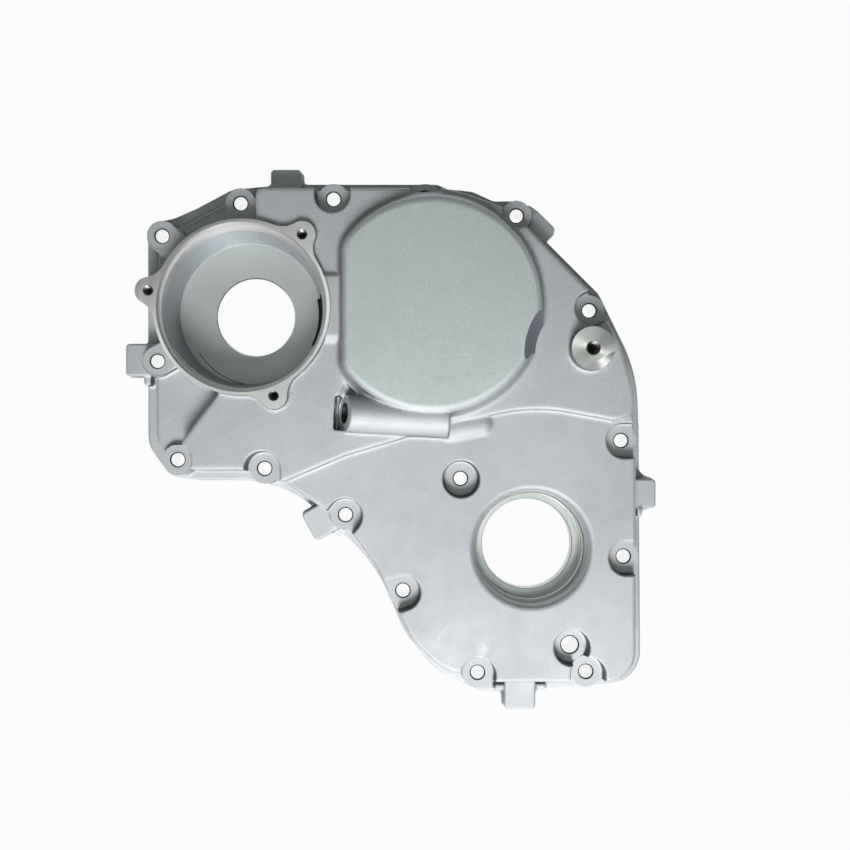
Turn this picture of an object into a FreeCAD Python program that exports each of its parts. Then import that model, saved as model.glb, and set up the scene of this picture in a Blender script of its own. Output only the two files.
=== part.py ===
import FreeCAD, Part
import math
import os

from FreeCAD import Vector

# Timing cover of a piston engine: one die-cast aluminium cover with machined faces.
# Millimetres. The origin is the crankshaft axis where it meets the gasket face.
# +Z points out of the engine, +Y up the engine, and the cover lies on its gasket face.

# Heights of the cast levels above the gasket face
FLANGE_TOP = 6.0
CORNER_FLOOR = 11.0
LUG_TOP = 14.0
LOW_PANEL_TOP = 17.0
SEAT_LEVEL = 20.5
SOUTH_PANEL_TOP = 28.0
NORTH_PANEL_TOP = 31.0
BRIDGE_TOP = 33.5
RING_TOP = 34.5
TALL_BOSS_TOP = 38.0
DOME_TOP = 42.0

# Casting practice
WALL = 4.5
ROOF = 4.5
DRAFT_ANGLE = 3.0
ROUND_STEPS = 1
PANEL_EDGE_ROUND = 2.0
CAVITY_ROUND_FROM = 20.0
RIB_THICKNESS = 4.0
RIB_FOOT = 5.0

# Outline of the gasket flange: x, y and corner radius, anticlockwise seen from outside
FLANGE = [
    (-237.3, 61.5, 16), (-223.5, 42.0, 12), (-204.0, 39.3, 12), (-152.3, 39.3, 70),
    (-94.9, -12.0, 100), (-76.2, -56.3, 50), (-55.8, -80.5, 34), (-27.2, -93.6, 32),
    (71.8, -87.0, 20), (70.8, 72.0, 40), (69.4, 107.8, 90), (45.5, 156.5, 10),
    (12.0, 190.0, 1.5), (5.0, 207.3, 1.5), (-3.0, 214.9, 8), (-20.5, 214.6, 6),
    (-34.0, 220.8, 12), (-49.0, 222.2, 6), (-56.0, 225.2, 8), (-150.0, 225.2, 90),
    (-184.5, 222.0, 14), (-207.0, 210.0, 30), (-221.0, 203.8, 12), (-237.6, 200.5, 11),
]

# Outlines of the raised panels at their top edges
LOW_PANEL = [
    (-229.3, 65.0, 14), (-217.0, 47.0, 10), (-200.0, 46.5, 10), (-150.0, 46.5, 10),
    (-150.0, 118.0, 10), (-229.3, 118.0, 8),
]
SOUTH_PANEL = [
    (-149.0, 39.5, 8), (-112.5, 14.5, 60), (-93.5, -11.0, 60), (-72.5, -55.0, 40),
    (-55.0, -72.5, 30), (-22.0, -81.0, 24), (62.8, -80.6, 18), (62.8, 60.0, 20),
    (60.5, 96.0, 20), (-149.0, 96.0, 8),
]
NORTH_PANEL = [
    (-150.2, 39.1, 10), (-112.0, 55.5, 50), (-43.0, 75.9, 80), (1.9, 84.9, 105),
    (50.0, 76.2, 10), (60.5, 80.5, 8), (61.2, 93.0, 24), (52.5, 122.5, 40), (35.5, 153.0, 8),
    (-13.5, 202.9, 20), (-38.0, 212.0, 20), (-54.0, 215.9, 6), (-165.7, 215.9, 5),
    (-165.7, 150.0, 6), (-187.6, 93.5, 6), (-211.5, 62.0, 8), (-206.0, 46.8, 6), (-172.0, 46.8, 16),
]
CORNER_PANEL = [
    (-229.5, 100.0, 10), (-150.0, 100.0, 10), (-150.0, 216.5, 5), (-184.0, 213.5, 10),
    (-219.0, 195.5, 8), (-229.5, 188.0, 8),
]

# Cover bolts: centre, the panel that each one is sunk in, and the side where its seat runs out
BOLT_HOLE_RADIUS = 4.5
SEAT_RADIUS = 9.4
BOLT_COLUMN_RADIUS = 10.5
PAD_CORNER = 0.55
BOLTS = {
    "corner": (-224.2, 189.1, None, 0.0),
    "top_left": (-176.3, 209.0, None, 90.0),
    "left": (-227.0, 112.8, None, 180.0),
    "bottom_left": (-214.6, 52.8, NORTH_PANEL_TOP, 215.0),
    "left_bay": (-161.7, 47.5, NORTH_PANEL_TOP, 270.0),
    "top_middle": (-119.7, 211.6, NORTH_PANEL_TOP, 90.0),
    "top_dome": (-64.0, 211.6, NORTH_PANEL_TOP, 90.0),
    "top_right": (-8.3, 201.4, NORTH_PANEL_TOP, 75.0),
    "right_shoulder": (36.0, 143.6, NORTH_PANEL_TOP, 28.0),
    "right_upper": (55.4, 64.5, SOUTH_PANEL_TOP, 0.0),
    "left_waist": (-112.4, 19.3, SOUTH_PANEL_TOP, 232.0),
    "left_hip": (-77.4, -26.8, SOUTH_PANEL_TOP, 200.0),
    "bottom_left_corner": (-32.0, -76.8, SOUTH_PANEL_TOP, 262.0),
    "right_lower": (56.9, -6.0, SOUTH_PANEL_TOP, 0.0),
    "bottom_right": (34.0, -76.2, SOUTH_PANEL_TOP, 270.0),
}
CENTRE_BOLT = (-42.4, 41.4)
DOWEL = (24.2, -59.9)
DOWEL_HOLE_RADIUS = 5.8
DOWEL_SEAT_RADIUS = 9.6
DOWEL_FACING = 300.0

# Cast lugs that locate the casting for machining: middle of the root, direction, width, reach
LUGS = [
    (-149.6, 223.0, 90.0, 19.0, 8.9),
    (-236.0, 114.3, 180.0, 20.0, 12.8),
    (70.0, 31.6, 0.0, 18.0, 8.9),
    (-5.1, -91.0, 270.0, 19.2, 10.7),
    (4.4, 193.6, 45.0, 17.2, 10.1),
    (-124.8, 16.6, 209.5, 19.4, 12.6),
]
LUG_BOTTOM = 1.5
LUG_ROOT = 14.0
LUG_CORNER = 1.5
LUG_WEB_RADIUS = 6.0
LUG_EDGE_ROUND = 0.7

# Bore for the crankshaft seal
CRANK_RIM_RADIUS = 34.8
CRANK_RIM_ROUND = 3.0
CRANK_NECK_DRAFT = 0.5
CRANK_LEDGE_LEVEL = 20.0
SEAL_BORE_RADIUS = 32.5
SEAL_SEAT_LEVEL = 8.0
CRANK_LIP_RADIUS = 28.0
CRANK_BOSS_WALL = 6.0

# Housing for the driven accessory: a deep cup with a machined ring and three tapped ears
CUP_X, CUP_Y = -173.2, 143.8
RING_RADIUS = 52.3
RING_FACE_INNER = 50.5
PILOT_RADIUS = 49.4
CUP_RADIUS = 47.5
PILOT_DEPTH = 7.0
CUP_FLOOR = 3.5
CUP_FLOOR_RADIUS = 44.6
CUP_HOLE_RADIUS = 24.2
CUP_HOLE_SHIFT = (3.2, -1.8)
EAR_RADIUS = 8.0
EAR_CIRCLE_RADIUS = 56.0
EAR_BLEND_RADIUS = 14.0
EAR_ANGLES = (170.0, 50.0, 290.0)
EAR_HOLE_RADIUS = 2.5
EAR_HOLE_DEPTH = 14.0
GEAR_WINDOW_FROM, GEAR_WINDOW_TO = -34.0, 12.0
GEAR_WINDOW_TOP = 21.0

# Dome over the large gear, flat on the side of the accessory and clipped at the lower right
DOME_X, DOME_Y = -60.2, 144.5
DOME_RADIUS = 65.5
DOME_FLAT_DISTANCE = 53.5
DOME_FLAT_CORNER = 14.0
DOME_CLIP_ANGLE = -16.0
DOME_CLIP_DEPTH = 2.6
DOME_CLIP_CORNER = 8.0
DOME_EDGE_ROUND = 5.5
DOME_ROUND_STEPS = 2
DOME_FOOT_ROUND = 1.5
DOME_DRAFT_ANGLE = 8.0

# Bridge between the ring and the dome
BRIDGE_BOTTOM_Y, BRIDGE_TOP_Y = 125.5, 163.0
BRIDGE_EDGE_ROUND = 1.5

# Tall boss with a tapped hole and a clipped edge
TALL_BOSS_X, TALL_BOSS_Y = 34.5, 119.1
TALL_BOSS_RADIUS = 12.75
TALL_BOSS_HOLE_RADIUS = 4.25
TALL_BOSS_HOLE_DEPTH = 20.0
TALL_BOSS_CLIP_ANGLE = -64.0
TALL_BOSS_CLIP_DISTANCE = 7.0
TALL_BOSS_CLIP_SLOPE = 14.0

# Oil port: a round boss that dives to the right into the lower panel
PORT_LEFT = (-112.0, 81.0, 29.0)
PORT_RIGHT = (-22.0, 71.8, 17.3)
PORT_RADIUS = 11.8
PORT_FACE_TILT = 20.0
PORT_HOLE_RADIUS = 6.0
PORT_HOLE_DEPTH = 16.0
PORT_GAP = 6.0
PORT_GAP_WIDTH = 20.6
PORT_GAP_FLOOR = 17.5

# Rounds in plan below this radius are left sharp
SHARP = 2.0
FIT = 1e-4


def polar(angle, length):
    """Vector of a length at an angle in degrees in the gasket plane."""
    return Vector(length * math.cos(math.radians(angle)), length * math.sin(math.radians(angle)), 0)


def grown_corners(corners, grow):
    """Corners of the same outline with every side moved outwards by grow."""
    moved = []
    count = len(corners)
    for i, (x, y, radius) in enumerate(corners):
        before = Vector(x - corners[i - 1][0], y - corners[i - 1][1], 0).normalize()
        after_x, after_y, _ = corners[(i + 1) % count]
        after = Vector(after_x - x, after_y - y, 0).normalize()
        out_before = Vector(before.y, -before.x, 0)
        out_after = Vector(after.y, -after.x, 0)
        step = (out_before + out_after) * (grow / (1 + out_before.dot(out_after)))
        turns_left = before.cross(after).z > 0
        rounded = radius + grow if turns_left else radius - grow
        moved.append((x + step.x, y + step.y, rounded if radius > 0 and rounded > SHARP else 0))
    return moved


def outline(corners, z, grow=0.0):
    """Closed wire of straight sides and tangent corner arcs at height z."""
    corners = grown_corners(corners, grow)
    count = len(corners)
    starts, ends, middles = [], [], []
    for i, (x, y, radius) in enumerate(corners):
        here = Vector(x, y, z)
        to_before = (Vector(corners[i - 1][0], corners[i - 1][1], z) - here).normalize()
        to_after = (Vector(*corners[(i + 1) % count][:2], z) - here).normalize()
        half = to_before.getAngle(to_after) / 2
        reach = radius / math.tan(half)
        bisector = (to_before + to_after).normalize()
        starts.append(here + to_before * reach)
        ends.append(here + to_after * reach)
        middles.append(here + bisector * (radius / math.sin(half) - radius))
    edges = []
    for i in range(count):
        if (ends[i] - starts[i]).Length > FIT:
            edges.append(Part.Arc(starts[i], middles[i], ends[i]).toShape())
        following = starts[(i + 1) % count]
        if (following - ends[i]).Length > FIT:
            edges.append(Part.LineSegment(ends[i], following).toShape())
    return Part.Wire(edges)


def stack(wires):
    """Solid with flat or conical sides through closed wires of like shape."""
    return Part.makeLoft(wires, True, True)


def stepped_round(top, radius, steps=ROUND_STEPS):
    """Heights and inward steps of bands that round the top edge of a solid."""
    turns = [math.radians(90 * k / steps) for k in range(steps + 1)]
    return [(top - radius * (1 - math.sin(a)), -radius * (1 - math.cos(a))) for a in turns]


def panel(corners, top, edge_round, bottom=0.0, steps=ROUND_STEPS):
    """Cast panel with drafted sides and a rounded top edge."""
    spread = (top - bottom) * math.tan(math.radians(DRAFT_ANGLE))
    sections = [(bottom, spread)] + stepped_round(top, edge_round, steps)
    return stack([outline(corners, z, grow) for z, grow in sections])


def turned(x, y, profile):
    """Solid turned about a vertical axis through x, y from radius and height pairs."""
    points = [Vector(radius, 0, z) for radius, z in profile]
    solid = Part.Face(Part.makePolygon(points + points[:1])).revolve(Vector(0, 0, 0), Vector(0, 0, 1), 360)
    solid.translate(Vector(x, y, 0))
    return solid


def cylinder(x, y, radius, bottom, top):
    """Upright cylinder."""
    return Part.makeCylinder(radius, top - bottom, Vector(x, y, bottom))


def arc_between(centre, radius, start, end, z):
    """Arc about a centre from one angle to a larger one, in degrees."""
    points = [centre + polar(a, radius) + Vector(0, 0, z) for a in (start, (start + end) / 2, end)]
    return Part.Arc(*points).toShape()


def circle_with_flats(centre, radius, flats, z):
    """Circle wire with flats: each flat has the angle it faces, its distance and its corner radius."""
    edges = []
    marks = []
    for facing, distance, corner in flats:
        side = math.sqrt((radius - corner) ** 2 - (distance - corner) ** 2)
        half = math.degrees(math.atan2(side, distance - corner))
        for sign in (-1, 1):
            middle = centre + polar(facing, distance - corner) + polar(facing + 90 * sign, side)
            marks.append((facing + half * sign, facing, middle, corner, sign))
    for i, (angle, facing, middle, corner, sign) in enumerate(marks):
        low, high = (angle, facing) if sign < 0 else (facing, angle)
        edges.append(arc_between(middle, corner, low, high, z))
        after = marks[(i + 1) % len(marks)]
        if sign < 0:
            ends = [m + polar(facing, corner) + Vector(0, 0, z) for m in (middle, after[2])]
            edges.append(Part.LineSegment(*ends).toShape())
        else:
            far = after[0] if after[0] > angle else after[0] + 360
            edges.append(arc_between(centre, radius, angle, far, z))
    return Part.Wire(Part.__sortEdges__(edges))


def dome_wire(grow, z):
    """Plan outline of the dome at height z."""
    flats = [
        (DOME_CLIP_ANGLE, DOME_RADIUS + grow - DOME_CLIP_DEPTH, DOME_CLIP_CORNER),
        (180.0, DOME_FLAT_DISTANCE + grow, DOME_FLAT_CORNER),
    ]
    return circle_with_flats(Vector(DOME_X, DOME_Y, 0), DOME_RADIUS + grow, flats, z)


def ring_wire(z):
    """Plan outline of the accessory ring with its three ears and their blends."""
    centre = Vector(CUP_X, CUP_Y, 0)
    near, far, ear = RING_RADIUS + EAR_BLEND_RADIUS, EAR_RADIUS + EAR_BLEND_RADIUS, EAR_CIRCLE_RADIUS
    swing = math.degrees(math.acos((ear ** 2 + near ** 2 - far ** 2) / (2 * ear * near)))
    inner = math.degrees(math.acos((near ** 2 + far ** 2 - ear ** 2) / (2 * near * far)))
    edges = []
    angles = sorted(EAR_ANGLES)
    for i, angle in enumerate(angles):
        ear_centre = centre + polar(angle, ear)
        for sign in (-1, 1):
            blend = centre + polar(angle + sign * swing, near)
            to_ring = angle + sign * swing + 180
            low, high = sorted((to_ring, to_ring + sign * inner))
            edges.append(arc_between(blend, EAR_BLEND_RADIUS, low, high, z))
        half_ear = 180 - (180 - swing - inner)
        edges.append(arc_between(ear_centre, EAR_RADIUS, angle - half_ear, angle + half_ear, z))
        following = angles[(i + 1) % len(angles)]
        if following < angle:
            following += 360
        edges.append(arc_between(centre, RING_RADIUS, angle + swing, following - swing, z))
    return Part.Wire(Part.__sortEdges__(edges))


def prism(wire, height):
    """Straight solid on a flat wire."""
    return Part.Face(wire).extrude(Vector(0, 0, height))


def local_outline(points, x, y, angle, z, grow=0.0):
    """Outline given in a frame whose first axis points along the angle."""
    turn = FreeCAD.Rotation(Vector(0, 0, 1), angle)
    placed = []
    for along, across, radius in points:
        spot = turn.multVec(Vector(along, across, 0)) + Vector(x, y, 0)
        placed.append((spot.x, spot.y, radius))
    return outline(placed, z, grow)


def lug(x, y, angle, width, reach):
    """Cast lug with a web at flange height that runs into the flange with hollow corners."""
    half = width / 2
    spread = math.tan(math.radians(DRAFT_ANGLE)) * (LUG_TOP - LUG_BOTTOM)
    block = [(-LUG_ROOT, -half, 0), (reach - LUG_CORNER, -half, 0), (reach, LUG_CORNER - half, 0),
             (reach, half - LUG_CORNER, 0), (reach - LUG_CORNER, half, 0), (-LUG_ROOT, half, 0)]
    sections = [(LUG_BOTTOM, spread)] + stepped_round(LUG_TOP, LUG_EDGE_ROUND)
    body = stack([local_outline(block, x, y, angle, z, grow) for z, grow in sections])
    side = half + spread
    foot = side + LUG_WEB_RADIUS
    web = [(-LUG_ROOT, -foot, 0), (0, -foot, 0), (0, -side, LUG_WEB_RADIUS), (reach, -side, 0),
           (reach, side, 0), (0, side, LUG_WEB_RADIUS), (0, foot, 0), (-LUG_ROOT, foot, 0)]
    return body.fuse(prism(local_outline(web, x, y, angle, LUG_BOTTOM), FLANGE_TOP - LUG_BOTTOM))


def flange():
    """Gasket flange."""
    return prism(outline(FLANGE, 0), FLANGE_TOP)


def bolt_bosses():
    """Round bosses up to the bolt seats, with straps to the accessory ring on the three bare ones."""
    bosses = [cylinder(x, y, SEAT_RADIUS, 0, SEAT_LEVEL) for x, y, _, _ in BOLTS.values()]
    ring = Vector(CUP_X, CUP_Y, 0)
    for name in ("corner", "top_left", "left"):
        x, y, _, _ = BOLTS[name]
        toward = ring - Vector(x, y, 0)
        angle = math.degrees(math.atan2(toward.y, toward.x))
        reach = toward.Length - CUP_RADIUS
        strap = [(0, -SEAT_RADIUS, 0), (reach, -SEAT_RADIUS, 0), (reach, SEAT_RADIUS, 0), (0, SEAT_RADIUS, 0)]
        bosses.append(prism(local_outline(strap, x, y, angle, 0), SEAT_LEVEL))
    return bosses


def dome():
    """Gear dome with drafted flanks and a large rounded edge."""
    spread = (DOME_TOP - NORTH_PANEL_TOP) * math.tan(math.radians(DOME_DRAFT_ANGLE)) / 2
    foot = spread + DOME_FOOT_ROUND
    sections = [(CORNER_FLOOR, foot), (NORTH_PANEL_TOP, foot), (NORTH_PANEL_TOP + DOME_FOOT_ROUND, spread)]
    sections += [(z, grow - spread) for z, grow in stepped_round(DOME_TOP, DOME_EDGE_ROUND, DOME_ROUND_STEPS)]
    return stack([dome_wire(grow, z) for z, grow in sections])


def bridge():
    """Raised web between ring and dome."""
    corners = [
        (CUP_X + CUP_RADIUS, BRIDGE_BOTTOM_Y, 0), (DOME_X - CUP_RADIUS, BRIDGE_BOTTOM_Y, 0),
        (DOME_X - CUP_RADIUS, BRIDGE_TOP_Y, 0), (CUP_X + CUP_RADIUS, BRIDGE_TOP_Y, 0),
    ]
    return panel(corners, BRIDGE_TOP, BRIDGE_EDGE_ROUND, SOUTH_PANEL_TOP)


def tall_boss():
    """Tall round boss, clipped on its lower right by a sloping face."""
    boss = cylinder(TALL_BOSS_X, TALL_BOSS_Y, TALL_BOSS_RADIUS, 0, TALL_BOSS_TOP)
    size = 4 * TALL_BOSS_RADIUS
    wedge = Part.makeBox(size, size, size, Vector(0, -size / 2, 0))
    wedge.rotate(Vector(0, 0, 0), Vector(0, 1, 0), TALL_BOSS_CLIP_SLOPE)
    wedge.translate(Vector(TALL_BOSS_CLIP_DISTANCE, 0, 0))
    wedge.rotate(Vector(0, 0, 0), Vector(0, 0, 1), TALL_BOSS_CLIP_ANGLE)
    wedge.translate(Vector(TALL_BOSS_X, TALL_BOSS_Y, TALL_BOSS_TOP))
    return boss.cut(wedge)


def port_axis():
    """Start point and unit direction of the oil port, from its face to the right."""
    start, end = Vector(*PORT_LEFT), Vector(*PORT_RIGHT)
    return start, end, (end - start).normalize()


def port_normal():
    """Unit direction out of the tilted port face."""
    tilt = math.radians(PORT_FACE_TILT)
    _, _, direction = port_axis()
    across = Vector(-direction.x, -direction.y, 0).normalize()
    return across * math.cos(tilt) + Vector(0, 0, math.sin(tilt))


def port_boss():
    """Round oil port boss that dives into the lower panel, its left end cut by the tilted face."""
    start, end, direction = port_axis()
    tube = Part.makeCylinder(
        PORT_RADIUS, (end - start).Length + PORT_RADIUS, start - direction * PORT_RADIUS, direction)
    waste = Part.makeCylinder(3 * PORT_RADIUS, 3 * PORT_RADIUS, start, port_normal())
    return tube.cut(waste)


def port_gap():
    """Cutter for the slot that frees the port face from the panel."""
    start, _, direction = port_axis()
    lean = math.tan(math.radians(PORT_FACE_TILT))
    low, high = PORT_GAP_FLOOR - start.z, DOME_TOP - start.z
    side = [(-PORT_GAP, low), (low * lean, low), (high * lean, high), (-PORT_GAP, high)]
    points = [Vector(along, -PORT_GAP_WIDTH / 2, up) for along, up in side]
    slot = Part.Face(Part.makePolygon(points + points[:1])).extrude(Vector(0, PORT_GAP_WIDTH, 0))
    slot.rotate(Vector(0, 0, 0), Vector(0, 0, 1), math.degrees(math.atan2(direction.y, direction.x)))
    slot.translate(start)
    return slot


def accessory_ring():
    """Outer wall of the accessory housing with its eared machined ring."""
    return prism(ring_wire(0), RING_TOP)


def bolt_pocket(x, y, facing):
    """Cutter for a bolt seat: a round recess that runs out at the edge of its panel."""
    run = 3 * SEAT_RADIUS
    shape = [(0, -SEAT_RADIUS, 0), (run, -SEAT_RADIUS, 0), (run, SEAT_RADIUS, 0), (0, SEAT_RADIUS, 0)]
    way_out = prism(local_outline(shape, x, y, facing, SEAT_LEVEL), DOME_TOP - SEAT_LEVEL)
    return cylinder(x, y, SEAT_RADIUS, SEAT_LEVEL, DOME_TOP).fuse(way_out)


def crank_cut():
    """Cutter for the seal bore: rounded cast mouth, machined bore and inner lip."""
    mouth = [(CRANK_RIM_RADIUS - grow, z) for z, grow in stepped_round(SOUTH_PANEL_TOP, CRANK_RIM_ROUND)]
    return turned(0, 0, [
        (0, -1), (CRANK_LIP_RADIUS, -1), (CRANK_LIP_RADIUS, SEAL_SEAT_LEVEL),
        (SEAL_BORE_RADIUS, SEAL_SEAT_LEVEL), (SEAL_BORE_RADIUS, CRANK_LEDGE_LEVEL),
        (CRANK_RIM_RADIUS - CRANK_NECK_DRAFT, CRANK_LEDGE_LEVEL),
        *mouth, (mouth[-1][0], DOME_TOP), (0, DOME_TOP),
    ])


def cup_cut():
    """Cutter for the accessory cup: chamfered mouth, pilot, drafted wall and flat floor."""
    pilot_end = RING_TOP - PILOT_DEPTH
    lead = RING_FACE_INNER - PILOT_RADIUS
    step = PILOT_RADIUS - CUP_RADIUS
    cup = turned(CUP_X, CUP_Y, [
        (0, CUP_FLOOR), (CUP_FLOOR_RADIUS, CUP_FLOOR), (CUP_RADIUS, pilot_end - step),
        (PILOT_RADIUS, pilot_end), (PILOT_RADIUS, RING_TOP - lead), (RING_FACE_INNER, RING_TOP),
        (RING_FACE_INNER, DOME_TOP), (0, DOME_TOP),
    ])
    hole_x, hole_y = CUP_X + CUP_HOLE_SHIFT[0], CUP_Y + CUP_HOLE_SHIFT[1]
    return cup.fuse(cylinder(hole_x, hole_y, CUP_HOLE_RADIUS, -1, CUP_FLOOR + 1))


def gear_window():
    """Cutter for the opening in the cup wall where the gears mesh."""
    centre = Vector(CUP_X, CUP_Y, 0)
    inner, outer = CUP_FLOOR_RADIUS - WALL, CUP_RADIUS + 3 * WALL
    base = CUP_FLOOR + 0.5
    edges = [
        arc_between(centre, inner, GEAR_WINDOW_FROM, GEAR_WINDOW_TO, base),
        arc_between(centre, outer, GEAR_WINDOW_FROM, GEAR_WINDOW_TO, base),
    ]
    for angle in (GEAR_WINDOW_FROM, GEAR_WINDOW_TO):
        ends = [centre + polar(angle, r) + Vector(0, 0, base) for r in (inner, outer)]
        edges.append(Part.LineSegment(*ends).toShape())
    return prism(Part.Wire(Part.__sortEdges__(edges)), GEAR_WINDOW_TOP - base)


def hollow_space(corners, top):
    """Space inside a panel, a wall's thickness in from its sides, with small corners left square."""
    kept = [(x, y, radius if radius >= CAVITY_ROUND_FROM else 0) for x, y, radius in corners]
    return prism(outline(kept, -1, -WALL), top - ROOF + 1)


def inner_pad(x, y, facing, radius, top):
    """Six-sided pad that carries a hole inside the cavity and runs out into the wall."""
    cut = radius * PAD_CORNER
    pad = [(-radius, cut - radius, 0), (cut - radius, -radius, 0), (2 * radius, -radius, 0),
           (2 * radius, radius, 0), (cut - radius, radius, 0), (-radius, radius - cut, 0)]
    return prism(local_outline(pad, x, y, facing, -1), top + 1)


def cavity():
    """Hollow under the panels and the dome, less the bosses and ribs that stand in it."""
    dome_space = prism(dome_wire(-WALL, -1), DOME_TOP - ROOF + 1)
    hollow = dome_space.fuse([
        hollow_space(SOUTH_PANEL, SOUTH_PANEL_TOP),
        hollow_space(NORTH_PANEL, NORTH_PANEL_TOP),
        hollow_space(LOW_PANEL, LOW_PANEL_TOP),
    ])
    start, _, direction = port_axis()
    behind = start - direction * (PORT_GAP + WALL)
    tall_bottom = TALL_BOSS_TOP - TALL_BOSS_HOLE_DEPTH - WALL
    solid_parts = ribs() + [
        cylinder(0, 0, SEAL_BORE_RADIUS + CRANK_BOSS_WALL, -1, SOUTH_PANEL_TOP),
        cylinder(CUP_X, CUP_Y, CUP_RADIUS + WALL, -1, RING_TOP),
        cylinder(*CENTRE_BOLT, BOLT_COLUMN_RADIUS, -1, SOUTH_PANEL_TOP),
        cylinder(TALL_BOSS_X, TALL_BOSS_Y, TALL_BOSS_RADIUS - 1, tall_bottom, TALL_BOSS_TOP),
        inner_pad(*DOWEL, DOWEL_FACING, BOLT_COLUMN_RADIUS, SOUTH_PANEL_TOP),
        Part.makeCylinder(PORT_RADIUS + WALL, PORT_HOLE_DEPTH + 2 * WALL, behind, direction),
    ]
    for x, y, _, facing in BOLTS.values():
        solid_parts.append(inner_pad(x, y, facing, BOLT_COLUMN_RADIUS, DOME_TOP))
    for angle in EAR_ANGLES:
        spot = Vector(CUP_X, CUP_Y, 0) + polar(angle, EAR_CIRCLE_RADIUS)
        solid_parts.append(inner_pad(spot.x, spot.y, angle + 180, EAR_RADIUS, RING_TOP))
    return hollow.cut(solid_parts)


def ribs():
    """Stiffening ribs under the lower panel, from the seal boss and the centre bolt to other bosses."""
    hub, middle = (0, 0), CENTRE_BOLT
    left_waist, right_lower = BOLTS["left_waist"][:2], BOLTS["right_lower"][:2]
    low_corner = BOLTS["bottom_left_corner"][:2]
    walls = []
    for start, end in ((hub, middle), (middle, left_waist), (hub, right_lower), (hub, low_corner)):
        run = Vector(*end) - Vector(*start)
        wall = Part.makeBox(run.Length, RIB_THICKNESS, DOME_TOP, Vector(0, -RIB_THICKNESS / 2, RIB_FOOT))
        wall.rotate(Vector(0, 0, 0), Vector(0, 0, 1), math.degrees(math.atan2(run.y, run.x)))
        wall.translate(Vector(*start))
        walls.append(wall)
    return walls


def hole_cuts():
    """Cutters for the bolt, dowel and tapped holes."""
    cuts = [cylinder(x, y, BOLT_HOLE_RADIUS, -1, SEAT_LEVEL + 1) for x, y, _, _ in BOLTS.values()]
    cuts.append(cylinder(*CENTRE_BOLT, BOLT_HOLE_RADIUS, -1, SEAT_LEVEL + 1))
    cuts.append(cylinder(*DOWEL, DOWEL_HOLE_RADIUS, -1, SEAT_LEVEL + 1))
    for angle in EAR_ANGLES:
        spot = Vector(CUP_X, CUP_Y, 0) + polar(angle, EAR_CIRCLE_RADIUS)
        cuts.append(cylinder(spot.x, spot.y, EAR_HOLE_RADIUS, RING_TOP - EAR_HOLE_DEPTH, RING_TOP + 1))
    cuts.append(cylinder(TALL_BOSS_X, TALL_BOSS_Y, TALL_BOSS_HOLE_RADIUS,
                         TALL_BOSS_TOP - TALL_BOSS_HOLE_DEPTH, TALL_BOSS_TOP + 1))
    start, _, _ = port_axis()
    cuts.append(Part.makeCylinder(PORT_HOLE_RADIUS, PORT_HOLE_DEPTH, start, port_normal() * -1))
    return cuts


def timing_cover():
    """The whole casting with its machined faces and holes."""
    panels = [
        panel(CORNER_PANEL, CORNER_FLOOR, PANEL_EDGE_ROUND),
        panel(LOW_PANEL, LOW_PANEL_TOP, PANEL_EDGE_ROUND),
        panel(SOUTH_PANEL, SOUTH_PANEL_TOP, PANEL_EDGE_ROUND),
        panel(NORTH_PANEL, NORTH_PANEL_TOP, PANEL_EDGE_ROUND),
    ]
    body = flange().fuse(panels + bolt_bosses() + [lug(*place) for place in LUGS])
    pockets = [bolt_pocket(x, y, facing) for x, y, top, facing in BOLTS.values() if top]
    pockets.append(cylinder(*CENTRE_BOLT, SEAT_RADIUS, SEAT_LEVEL, DOME_TOP))
    pockets.append(cylinder(*DOWEL, DOWEL_SEAT_RADIUS, SEAT_LEVEL, DOME_TOP))
    body = body.cut(pockets + [port_gap()])
    body = body.fuse([accessory_ring(), dome(), bridge(), tall_boss()])
    body = body.cut(cavity()).fuse(port_boss())
    body = body.cut([crank_cut(), cup_cut(), gear_window()] + hole_cuts())
    return body.removeSplitter()


def main():
    """Write the one casting."""
    os.makedirs("parts", exist_ok=True)
    cover = timing_cover()
    print("solids", len(cover.Solids), "valid", cover.isValid(), "volume", round(cover.Volume))
    cover.exportStep("parts/timing_cover.step")


main()
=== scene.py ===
"""Looks of a bare die-cast timing cover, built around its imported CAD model.

The cover is made as a foundry makes it. A blank is modelled with stock on every face that is
machined later, its edges are softened all over as a die leaves them, and then it is cut by the
face mill, the turned tools and the drills that finish the real one. Lengths in the classes are
millimetres in the CAD frame: the crankshaft axis is the origin and the gasket face is level 0.
"""

import logging
import math
from contextlib import contextmanager
from dataclasses import dataclass, field
from enum import Enum
from typing import Iterator, Sequence

import bpy
from mathutils import Matrix, Vector

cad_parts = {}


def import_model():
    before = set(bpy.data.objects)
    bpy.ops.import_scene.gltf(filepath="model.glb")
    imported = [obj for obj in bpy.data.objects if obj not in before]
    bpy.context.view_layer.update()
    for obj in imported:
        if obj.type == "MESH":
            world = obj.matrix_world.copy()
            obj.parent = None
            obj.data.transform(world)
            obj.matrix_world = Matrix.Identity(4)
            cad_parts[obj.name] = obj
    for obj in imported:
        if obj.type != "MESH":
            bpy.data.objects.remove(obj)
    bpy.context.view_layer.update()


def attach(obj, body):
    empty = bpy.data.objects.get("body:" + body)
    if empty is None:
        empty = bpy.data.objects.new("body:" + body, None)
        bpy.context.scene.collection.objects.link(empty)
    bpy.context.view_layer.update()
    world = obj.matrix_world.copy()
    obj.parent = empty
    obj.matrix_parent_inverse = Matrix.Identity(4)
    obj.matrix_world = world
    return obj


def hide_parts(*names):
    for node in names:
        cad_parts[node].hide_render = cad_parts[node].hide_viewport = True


LOG = logging.getLogger("timing_cover")

MM = 0.001
NODE = "timing_cover"
BODY = "root"

Point = tuple[float, float]
Corner = tuple[float, float, float]
Section = tuple[list[Point], float]

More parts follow.
